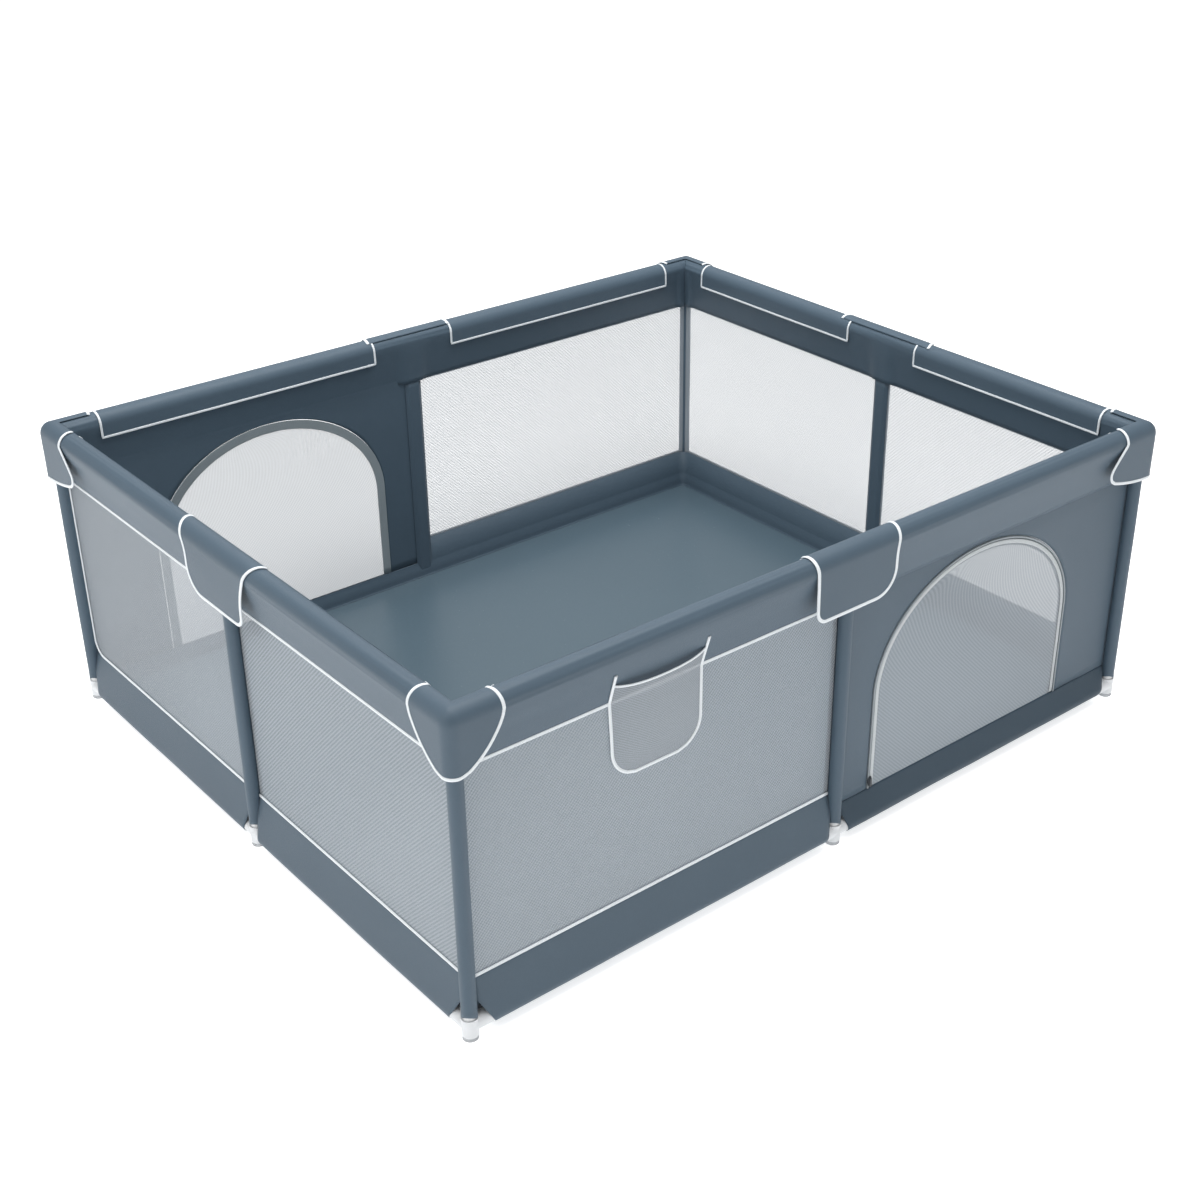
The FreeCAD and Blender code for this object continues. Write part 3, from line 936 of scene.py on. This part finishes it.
# outline is (u, z) on the wall; the plate stands from back to front, with a softened front edge
def plate(name, outline, back, front, side, material):
    count = len(outline)
    verts, faces, uvs = [], [], []
    rings = [(back, 0.86), (back, 1.0), (front - 0.0008, 1.0), (front, 0.80)]
    cu = sum(u for u, z in outline) / count
    cz = sum(z for u, z in outline) / count
    for w, size in rings:
        for u, z in outline:
            verts.append(onWall(side, mixed(cu, u, size), w, mixed(cz, z, size)))
    for r in range(len(rings) - 1):
        for k in range(count):
            n = (k + 1) % count
            faces.append((r * count + k, r * count + n, (r + 1) * count + n, (r + 1) * count + k))
            uvs.append([(0, 0)] * 4)
    faces += [tuple(range(count))[::-1], tuple(len(rings) * count - count + k for k in range(count))]
    uvs += [[(0, 0)] * count] * 2
    return finishMesh(name, verts, faces, uvs, material)


# body holds half widths and how far up they stand; out is from the coil's face
slider = {
    "at": door["centre"] - door["half"] + 0.0055,
    "body": [(0.0036, 0), (0.005, 0.35), (0.0046, 0.8), (0.0025, 1)],
    "bodyOut": (0.0002, 0.0037),
    "tabWide": 0.0044,
    "tabNeck": 0.0034,
    "tabClear": 0.0045,
    "tabOut": (0.0043, 0.0062),
}


def sliderAndPull(side):
    low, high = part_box("zip_slider_" + side)
    body = [(-slider["body"][0][0], 0)] + slider["body"] + [(-u, t) for u, t in slider["body"][:0:-1]]
    outline = [(slider["at"] + u, mixed(low.z, high.z, t)) for u, t in body]
    back, front = (door["coilOut"] + w for w in slider["bodyOut"])
    piece = plate("slider_" + side, outline, back, front, side, darkMetal)
    dress(piece, "zip_slider_" + side, "slider_metal", "zip_slider_" + side)
    low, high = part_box("zip_pull_" + side)
    foot = max(low.z, doorSill[side] + slider["tabClear"])
    shape = []
    for t in [2 * math.pi * k / 28 for k in range(28)]:
        c, s = math.cos(t), math.sin(t)
        wide = slider["tabWide"] if s < 0 else slider["tabNeck"]
        u = wide * math.copysign(abs(c) ** 0.6, c)
        shape.append((slider["at"] + u, mixed(foot, high.z, 0.5 + 0.5 * math.copysign(abs(s) ** 0.45, s))))
    back, front = (door["coilOut"] + w for w in slider["tabOut"])
    tab = plate("pull_" + side, shape, back, front, side, darkMetal)
    dress(tab, "zip_pull_" + side, "slider_metal", "zip_pull_" + side)


for side in ("front", "back"):
    doorPanel(side)
    doorZip(side)
    doorLeaf(side)
    sliderAndPull(side)
print("doors ready")

# ---- cloth sleeves on the posts
sleeve = {
    "radius": 0.0143,
    "top": 0.640,
    "bottom": 0.052,
    "thick": 0.0009,
    "wave": 0.0005,
    "seam": 0.0009,
    "bell": 0.0006,
    "slant": 0.004,
}
postSpots = {corner: (x, y) for corner, (turn, x, y) in cornerSpot.items()}
for side in wallTurn:
    spot = onWall(side, 0, 0, 0)
    postSpots[side + "_middle"] = (spot.x, spot.y)


def postSleeve(name, x, y):
    seam = math.atan2(-y, -x)
    grid = []
    for i, z in enumerate(spread(sleeve["bottom"], sleeve["top"], 70)):
        line = []
        for k in range(32):
            t = 2 * math.pi * k / 32 + seam
            fold = sleeve["wave"] * noise.noise(Vector((math.cos(t) * 1.5, z * 7, x + y * 3)))
            ridge = sleeve["seam"] if k == 0 else 0.0
            bell = sleeve["bell"] * math.exp(-(z - sleeve["bottom"]) / 0.006)
            r = sleeve["radius"] + fold + ridge + bell
            low = sleeve["slant"] * (1 - eased(i / 6)) * math.sin(2 * t)
            line.append(Vector((x + r * math.cos(t), y + r * math.sin(t), z + low)))
        grid.append(line)
    piece = thicken(gridMesh("sleeve_" + name, grid, sleeveCloth, closed=True), sleeve["thick"])
    dress(piece, "pen", "slate_cloth")
    return piece


# inside, a strip of the same cloth lies over each middle post
lining = {"half": 0.0225, "out": -0.0162, "flat": 0.0125, "foot": 0.024, "back": 0.0016, "thick": 0.0008}


def postLining(side):
    grid = []
    for u in spread(-lining["half"], lining["half"], 24):
        share = eased((abs(u) - lining["flat"]) / (lining["half"] - lining["flat"]))
        w = mixed(lining["out"], wallAt - lining["back"], share)
        grid.append([onWall(side, u, w, z) for z in spread(lining["foot"], seamHigh + 0.006, 28)])
    piece = thicken(gridMesh("postLining_" + side, grid, slateCloth), lining["thick"])
    dress(piece, "pen", "slate_cloth")


for name, (x, y) in postSpots.items():
    piece = postSleeve(name, x, y)
    if name == "front_left":
        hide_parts("post_sleeves")
for side in wallTurn:
    postLining(side)
print("sleeves ready")

# ---- floor cloth, flat to the bottom rails. near holds how far its first rows lie from the edge
ground = {
    "level": 0.0195,
    "edge": 0.0190,
    "near": [0.0, 0.004, 0.008, 0.014, 0.022, 0.034, 0.05, 0.07, 0.1, 0.14],
    "step": 0.045,
    "thick": 0.0012,
    "wave": 0.0010,
    "dip": 0.0008,
}


def edgeDense(half):
    near = ground["near"]
    inner = half - ground["edge"] - near[-1]
    low = [ground["edge"] - half + d for d in near[:-1]]
    return low + spread(-inner, inner, 2 * round(inner / ground["step"]) + 1) + [-x for x in reversed(low)]


def floorSheet():
    grid = []
    for x in edgeDense(halfLong):
        line = []
        for y in edgeDense(halfShort):
            d = max(min(halfLong - abs(x), halfShort - abs(y)) - ground["edge"], 0)
            wave = ground["wave"] * eased(d / 0.15) * noise.noise(Vector((x * 2.1, y * 2.1, 4.0)))
            line.append(Vector((x, y, ground["level"] - ground["dip"] * eased(d / 0.02) + wave)))
        grid.append(line)
    piece = thicken(gridMesh("floorCloth", grid, floorCloth), ground["thick"])
    dress(piece, "pen", "floor_cloth", "floor_base")


# inside, the wall cloth comes down over the bottom rail to the floor; climb is (out, height)
inside = {
    "climb": [(-0.0215, 0.0204), (-0.0196, 0.0210), (-0.0184, 0.0250), (-0.0180, 0.0310), (-0.0168, 0.0380),
              (-0.0148, 0.0450), (-0.0118, 0.0530)],
    "out": -0.0104,
    "bend": 0.0575,
    "gap": 0.001,
    "corner": 0.036,
    "pull": 0.62,
    "thick": 0.0009,
    "width": 0.115,
}


# up a wall from the floor to its windows, or to the sill of its door
def climbAt(side, u):
    rise = seamLow - inside["gap"]
    if side in doorSill:
        rise = mixed(rise, doorSill[side] - inside["gap"], eased(u / 0.02 + 0.5))
    bend = min(inside["bend"], rise - 0.0005)
    return inside["climb"] + [(inside["out"], bend), (inside["out"], rise)]


def wallLining():
    grid = []
    corner = inside["corner"]
    for side in wallTurn:
        half = wallHalf[side]
        for u in spread(-half + corner, half - corner, 90):
            climb = climbAt(side, u)
            grid.append([onWall(side, u, w, z) for w, z in climb])
        # round the corner to the next wall
        for t in spread(0, 1, 9)[1:-1]:
            ring = []
            for w, z in climb:
                start = onWall(side, half - corner, w, z)
                knee = onWall(side, half + w, w, z)
                end = onWall(side, half + w, -corner, z)
                a, b = start.lerp(knee, inside["pull"]), end.lerp(knee, inside["pull"])
                q = 1 - t
                ring.append(start * q ** 3 + a * 3 * q * q * t + b * 3 * q * t * t + end * t ** 3)
            grid.append(ring)
    grid.append(list(grid[0]))
    piece = thicken(gridMesh("wallLining", grid, slateCloth), inside["thick"])
    dress(piece, "pen", "slate_cloth")


wallLining()
floorSheet()
print("floor ready")

# ---- pocket of open knit on the front window, with pale tape
pocket = {
    "centre": -0.466,
    "half": 0.103,
    "top": 0.597,
    "sag": 0.012,
    "bottom": 0.3935,
    "corner": 0.060,
    "off": 0.0022,
    "bulge": 0.0125,
    "lean": 0.006,
    "tapeTop": 0.622,
    "tapeWidth": 0.0065,
    "tapeThick": 0.0026,
    "mouthWidth": 0.0045,
    "mouthThick": 0.0022,
}


# how far out the wall stands: the window, then the rail cover sloping out over the foam
def wallSlope(z):
    slope = (cover["radius"] - door["panelOut"]) / (railZ - seamHigh)
    return door["panelOut"] + max(0, z - seamHigh) * slope


def pocketHalfAt(z):
    up = z - pocket["bottom"]
    radius = pocket["corner"]
    half = pocket["half"]
    if up < radius:
        half -= radius - math.sqrt(max(radius * radius - (radius - up) ** 2, 0))
    return half


# the tapes run on up the rail cover from the pocket's top corners
def pocketPieces():
    middle, bottom, top = pocket["centre"], pocket["bottom"], pocket["top"]
    grid = []
    for t in spread(0, 1, 40):
        line = []
        for s in spread(-1, 1, 31):
            z = mixed(bottom, top - pocket["sag"] * (1 - s * s), t)
            half = pocketHalfAt(mixed(bottom, top, t) + 0.0004)
            lean = pocket["lean"] * eased((z - 0.435) / 0.16) * max(-s, 0)
            full = (1 - s ** 4) * math.sin(math.pi * min(t * 0.62 + 0.02, 1)) * (0.35 + 0.65 * t)
            out = wallSlope(z) + pocket["off"] + pocket["bulge"] * full
            line.append(onWall("front", middle - lean + s * half, out, z))
        grid.append(line)
    bag = gridMesh("pocketBag", grid, pocketKnit)
    dress(bag, "pen", "grey_mesh", "pocket")
    out = outwards("front")
    section = tapeSection(pocket["mouthWidth"], pocket["mouthThick"])
    rim = sweepMesh("pocketMouth", grid[-1], [out] * len(grid[-1]), section, bindingCloth)
    dress(rim, "pen", "white_binding")
    outline = [row[0] for row in reversed(grid)] + grid[0][1:-1] + [row[-1] for row in grid]
    line = [point + out * 0.0004 for point in outline]
    over = pocket["off"] + 0.0004
    left, right = middle - pocket["half"] - pocket["lean"], middle + pocket["half"]
    heights = spread(top, pocket["tapeTop"], 6)[1:]
    line = [onWall("front", left, wallSlope(z) + over, z) for z in reversed(heights)] + line
    line += [onWall("front", right, wallSlope(z) + over, z) for z in heights]
    section = tapeSection(pocket["tapeWidth"], pocket["tapeThick"])
    edge = sweepMesh("pocketTape", line, [out] * len(line), section, bindingCloth)
    dress(edge, "pen", "white_binding")


pocketPieces()
print("pocket ready")

# ---- flaps over the rail. Across a flap, b is the distance down from the rail's side; below 0 it
# goes round the rail: so a flap is one cloth from behind the crest to its lower edge. Corner and flare
# give the rounding and the widening of a flap at its two sides.
flap = {
    "round": 0.0268,
    "innerRound": 0.0258,
    "half": 0.107,
    "drop": 0.1050,
    "corner": {"long": (0.024, 0.056), "short": (0.058, 0.022)},
    "flare": {"long": (0.004, 0.016), "short": (0.040, 0.036)},
    "over": 128,
    "lean": 0.012,
    "innerOver": {"front": 48, "left": 48, "back": 100, "right": 100},
    "innerDrop": 0.031,
    "innerEnd": 0.092,
    "innerLean": 0.02,
    "hug": 0.0012,
    "thick": 0.0012,
    "innerThick": 0.001,
    "tape": 0.0072,
    "tapeThick": 0.0030,
    "innerTape": 0.0052,
    "innerTapeThick": 0.0026,
    "edgeRows": 40,
}


# out and height of a flap's cloth at b
def overRail(b, radius, lean):
    if b < 0:
        t = -b / radius
        return radius * math.cos(t), railZ + radius * math.sin(t)
    return radius + lean * b, railZ - b


# half an outline, as (reach, b): down one side, round the lower corner, and in to the middle
def roundedEdge(top, corner, flare):
    half, bottom = flap["half"], flap["drop"]
    side = []
    for b in spread(top, bottom - corner, flap["edgeRows"]):
        wide = half + flare * (1 - eased((b - top) / (bottom - corner - top))) ** 1.5
        side.append((wide, b))
    for t in spread(0, math.pi / 2, 16)[1:]:
        side.append((half - corner + corner * math.cos(t), bottom - corner + corner * math.sin(t)))
    base = [(x, bottom) for x in spread(half - corner, 0, 8)[1:]]
    return side, base


# fills the half outline with a grid: rows run from the middle to the side edge. Each point is the
# blend across plus the blend down, less the blend of the four corners.
def halfPatch(side, base, columns):
    turn = len(side) - 8
    edge = [Vector(p) for p in side[:turn + 1]]
    bottom = [Vector(p) for p in base[::-1] + side[turn:][::-1]]
    far = gathered([p.to_3d() for p in bottom])
    top, foot, wide = edge[0].y, bottom[0].y, edge[0].x
    rows = []
    for i, limb in enumerate(edge):
        t = i / turn
        row = []
        for k in range(columns):
            f = k / (columns - 1)
            goal = f * far[-1]
            j = min(max(m for m in range(len(far)) if far[m] <= goal + 1e-12), len(far) - 2)
            low = bottom[j].lerp(bottom[j + 1], (goal - far[j]) / (far[j + 1] - far[j]))
            head = Vector((wide * f, top))
            spine = Vector((0, mixed(top, foot, t)))
            plain = head.lerp(Vector((0, foot)).lerp(bottom[-1], f), t)
            row.append(head.lerp(low, t) + spine.lerp(limb, f) - plain)
        rows.append(row)
    return rows


# the left half is mirrored and set before the right half, with the middle line kept once
def bothHalves(lefts, rights):
    return [[Vector((-p.x, p.y)) for p in left[:0:-1]] + right for left, right in zip(lefts, rights)]


def surfaceNormal(place, x, b):
    step = 0.0008
    across = place(x + step, b) - place(x - step, b)
    down = place(x, b + step) - place(x, b - step)
    return across.cross(down).normalized()


def edgeTape(name, line, place, flip, width, thick):
    path, normals = [], []
    for x, b in line:
        path.append(place(x, b))
        normals.append(surfaceNormal(place, x, b) * flip)
    return sweepMesh(name, path, normals, tapeSection(width, thick), bindingCloth)


# the tape's path round a lower corner, a little inside the edge
def tapeTurn(arc, corner, inset):
    cx, cb = flap["half"] - corner, flap["drop"] - corner
    share = (corner - inset) / corner
    return [(cx + (x - cx) * share, cb + (b - cb) * share) for x, b in arc]


def middleFlap(side):
    radius = flap["round"]
    top = -math.radians(flap["over"]) * radius
    halves, lines = [], []
    inset = flap["tape"] / 2 - 0.0005
    wall = "long" if side in doorSill else "short"
    for corner, flare in zip(flap["corner"][wall], flap["flare"][wall]):
        edge, base = roundedEdge(top, corner, flare)
        halves.append(halfPatch(edge, base, 22))
        count = flap["edgeRows"]
        line = [(x - inset, b) for x, b in edge[:count]] + tapeTurn(edge[count:], corner, inset)
        lines.append(line + [(x, flap["drop"] - inset) for x, b in base])
    rows = bothHalves(*halves)
    seed = wallTurn[side] * 0.07 + 1

    def place(x, b):
        lift = 0.0015 * eased(b / 0.06) * noise.noise(Vector((x * 9, b * 9, seed)))
        w, z = overRail(b, radius, flap["lean"])
        return onWall(side, x, w + (lift if b > 0 else 0), z)

    grid = [[place(p.x, p.y) for p in row] for row in rows]
    body = "middle_flap_" + side
    piece = thicken(gridMesh("middleFlap_" + side, grid, slateCloth), flap["thick"])
    line = [(-x, b) for x, b in lines[0]] + lines[1][-2::-1]
    band = edgeTape("middleFlapTape_" + side, line, place, 1, flap["tape"], flap["tapeThick"])
    start = onWall(side, 0, 0.018, railZ + 0.018)
    end = onWall(side, 0, 0.030, railZ - 0.006)
    for item, slot in ((piece, "slate_cloth"), (band, "white_binding")):
        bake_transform(item)
    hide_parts(body)


def innerFlap(side, sign):
    radius = flap["innerRound"]
    top = -math.radians(flap["innerOver"][side]) * radius
    near, far = flap["half"] + 0.001, wallHalf[side] - flap["innerEnd"]
    end = endNames[side][0 if sign < 0 else 1]
    seed = wallTurn[side] * 0.05 + sign

    # its upper edge hugs the rail
    def place(x, b):
        hug = radius - flap["hug"] * (1 - eased((b - top) / 0.022))
        w, z = overRail(b if b >= 0 else b * hug / radius, hug, flap["innerLean"])
        lift = 0.0012 * eased(b / 0.02) * noise.noise(Vector((x * 6, b * 8, seed)))
        return onWall(side, sign * x, -w - lift, z)

    grid = [[place(x, b) for b in spread(top, flap["innerDrop"], 30)] for x in spread(near, far, 90)]
    body = f"inner_flap_{side}_{end}"
    piece = thicken(gridMesh(f"innerFlap_{side}_{end}", grid, slateCloth), flap["innerThick"])
    inset = flap["innerTape"] / 2 - 0.0001
    low = flap["innerDrop"] - inset
    line = [(near + inset, b) for b in spread(top, low, 26)]
    line += [(x, low) for x in spread(near + inset + 0.004, far - inset - 0.004, 80)]
    line += [(far - inset, b) for b in spread(low, top, 26)]
    width, thick = flap["innerTape"], flap["innerTapeThick"]
    band = edgeTape(f"innerFlapTape_{side}_{end}", line, place, -sign, width, thick)
    start = onWall(side, 0, -0.018, railZ + 0.018)
    stop = onWall(side, 0, -0.030, railZ - 0.006)
    for item, slot in ((piece, "slate_cloth"), (band, "white_binding")):
        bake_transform(item)
    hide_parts(body)


for side in wallTurn:
    middleFlap(side)
    for sign in (-1, 1):
        innerFlap(side, sign)
print("flaps ready")

# ---- corner hoods: one cloth over both rails and down the post. Two are pointed shields and two are
# squarer; an outline is (reach along a wall from the post's axis, b), down to the foot on the diagonal.
hood = {
    "round": 0.0270,
    "over": 112,
    "reach": 0.084,
    "shield": [(0.084, 0.0), (0.0800, 0.015), (0.0700, 0.034), (0.0540, 0.056), (0.0340, 0.076),
               (0.0150, 0.090), (0.004, 0.0945)],
    "square": [(0.086, 0.0), (0.106, 0.022), (0.124, 0.043), (0.130, 0.056), (0.127, 0.069), (0.116, 0.078)],
    "shieldFoot": 0.0970,
    "squareFoot": 0.0985,
    "lean": -0.004,
    "thick": 0.0012,
    "tape": 0.0066,
    "tapeThick": 0.0030,
}


# the cloth's own normal at step i of the way round its grid: up one side, along the foot, and back
def hoodNormal(grid, i):
    rows, wide = len(grid), len(grid[0])
    if i < rows:
        r, c = i, 0
    elif i < rows + wide - 2:
        r, c = rows - 1, i - rows + 1
    else:
        r, c = 2 * rows + wide - 3 - i, wide - 1
    r0, r1 = max(r - 1, 0), min(r + 1, rows - 1)
    c0, c1 = max(c - 1, 0), min(c + 1, wide - 1)
    across = grid[r][c1] - grid[r][c0]
    down = grid[r1][c] - grid[r0][c]
    return across.cross(down).normalized()


def cornerHood(corner):
    turn, cx, cy = cornerSpot[corner]
    shield = corner in ("front_left", "back_right")
    outline = hood["shield"] if shield else hood["square"]
    foot = hood["shieldFoot"] if shield else hood["squareFoot"]
    radius = hood["round"]
    top = -math.radians(hood["over"]) * radius
    over = [(hood["reach"] - 0.007 * (b / top) ** 2, b) for b in spread(top, 0, 16)][:-1]
    edge = over + [(p.x, p.y) for p in through(outline, 26)]
    last = edge[-1][1]

    # f runs from the diagonal over the post, 0, to the hood's edge on either wall, 1
    def place(side, f, reach, b):
        w, z = overRail(b, radius, hood["lean"])
        a, out = cornerRun(w, f * runTo(w, reach))
        spot = (a, -out) if side > 0 else (-out, a)
        return turned(*spot, z, turn) + Vector((cx, cy, 0))

    grid = []
    for reach, b in edge:
        t = max((b - top) / (last - top), 0)
        half = []
        for f in spread(0, 1, 22):
            low = mixed(foot, last, f ** 3 if shield else f ** 2)
            half.append((f, reach, mixed(b, mixed(top, low, t), eased(b / last))))
        grid.append([place(-1, *p) for p in half[:0:-1]] + [place(1, *p) for p in half])
    piece = thicken(gridMesh("cornerHood_" + corner, grid, slateCloth), hood["thick"])
    body = "corner_hood_" + corner
    dress(piece, body, "slate_cloth", body)
    path = [row[0] for row in grid] + grid[-1][1:-1] + [row[-1] for row in reversed(grid)]
    normals = [hoodNormal(grid, i) for i in range(len(path))]
    section = tapeSection(hood["tape"], hood["tapeThick"])
    band = sweepMesh("cornerHoodTape_" + corner, path, normals, section, bindingCloth)
    dress(band, body, "white_binding")


for corner in cornerSpot:
    cornerHood(corner)
print("hoods ready")

# ---- floor of the studio, light and camera
studio = {
    "floorSize": 14.0,
    "floorGlow": 0.66,
    "world": 0.46,
    "lamps": {
        "keyLight": {"spot": (-3.8, -0.1, 2.7), "aim": (-0.2, 0, 0.2), "size": (2.6, 2.6), "power": 42.0,
                     "colour": (1.0, 0.99, 0.97)},
        "rimLight": {"spot": (1.2, 3.4, 3.0), "aim": (-0.2, 0, 0.3), "size": (3.4, 1.6), "power": 18.0,
                     "colour": (0.97, 0.99, 1.0)},
        "topLight": {"spot": (0.2, 0.0, 3.9), "aim": (0, 0.3, 0), "size": (3.2, 2.6), "power": 150.0,
                     "colour": (1, 1, 1)},
    },
}


def studioFloor():
    places = spread(-studio["floorSize"], studio["floorSize"], 3)
    rows = [[Vector((x, y, -0.0006)) for y in places] for x in places]
    material, tree, shader = newMaterial("studioFloor", Roughness=0.9, Specular_IOR_Level=0.0)
    place = node(tree, "TexCoord").outputs["Object"]
    haze = node(tree, "TexNoise", Vector=place, Scale=0.6, Detail=2.0).outputs[0]
    tone = blendColour(tree, haze, (0.93, 0.93, 0.93, 1), (0.95, 0.95, 0.95, 1))
    tree.links.new(tone, shader.inputs["Base Color"])
    shader.inputs["Emission Color"].default_value = (1, 1, 1, 1)
    shader.inputs["Emission Strength"].default_value = studio["floorGlow"]
    gridMesh("studioFloor", rows, material)


def softLight(name, spot, aim, size, power, colour):
    lamp = bpy.data.lights.new(name, "AREA")
    lamp.shape = "RECTANGLE"
    lamp.size, lamp.size_y = size
    lamp.energy = power
    lamp.color = colour
    thing = bpy.data.objects.new(name, lamp)
    thing.location = spot
    thing.rotation_euler = (Vector(aim) - Vector(spot)).to_track_quat("-Z", "Y").to_euler()
    bpy.context.scene.collection.objects.link(thing)


# the room lights the pen softly, and shows as plain white behind it
def studioWorld():
    world = bpy.data.worlds.new("studio")
    world.use_nodes = True
    tree = world.node_tree
    backdrop = node(tree, "LightPath").outputs["Is Camera Ray"]
    strength = sums(tree, "MULTIPLY_ADD", backdrop, 1 - studio["world"], studio["world"])
    room = tree.nodes["Background"]
    room.inputs[0].default_value = (1, 1, 1, 1)
    tree.links.new(strength, room.inputs[1])
    bpy.context.scene.world = world
    bpy.context.scene.view_settings.view_transform = "Standard"


studioFloor()
for name, lamp in studio["lamps"].items():
    softLight(name, **lamp)
studioWorld()

view = {
    "azimuth": -40.31,
    "elevation": 28.59,
    "roll": 0.16,
    "spot": (-2.1935, -2.7783, 2.1682),
    "lens": 53.30,
    "shift": (-0.0474, 0.0035),
}


def addCamera():
    a, e = math.radians(view["azimuth"]), math.radians(view["elevation"])
    back = Vector((math.sin(a) * math.cos(e), -math.cos(a) * math.cos(e), math.sin(e)))
    right = Vector((0, 0, 1)).cross(back).normalized()
    up = back.cross(right)
    facing = Matrix((right, up, back)).transposed().to_4x4()
    data = bpy.data.cameras.new("camera")
    data.lens = view["lens"]
    data.sensor_width = 36
    data.shift_x, data.shift_y = view["shift"]
    data.clip_end = 50
    camera = bpy.data.objects.new("camera", data)
    roll = Matrix.Rotation(math.radians(view["roll"]), 4, "Z")
    camera.matrix_world = Matrix.Translation(Vector(view["spot"])) @ facing @ roll
    bpy.context.scene.collection.objects.link(camera)
    bpy.context.scene.camera = camera


addCamera()
print("studio ready")
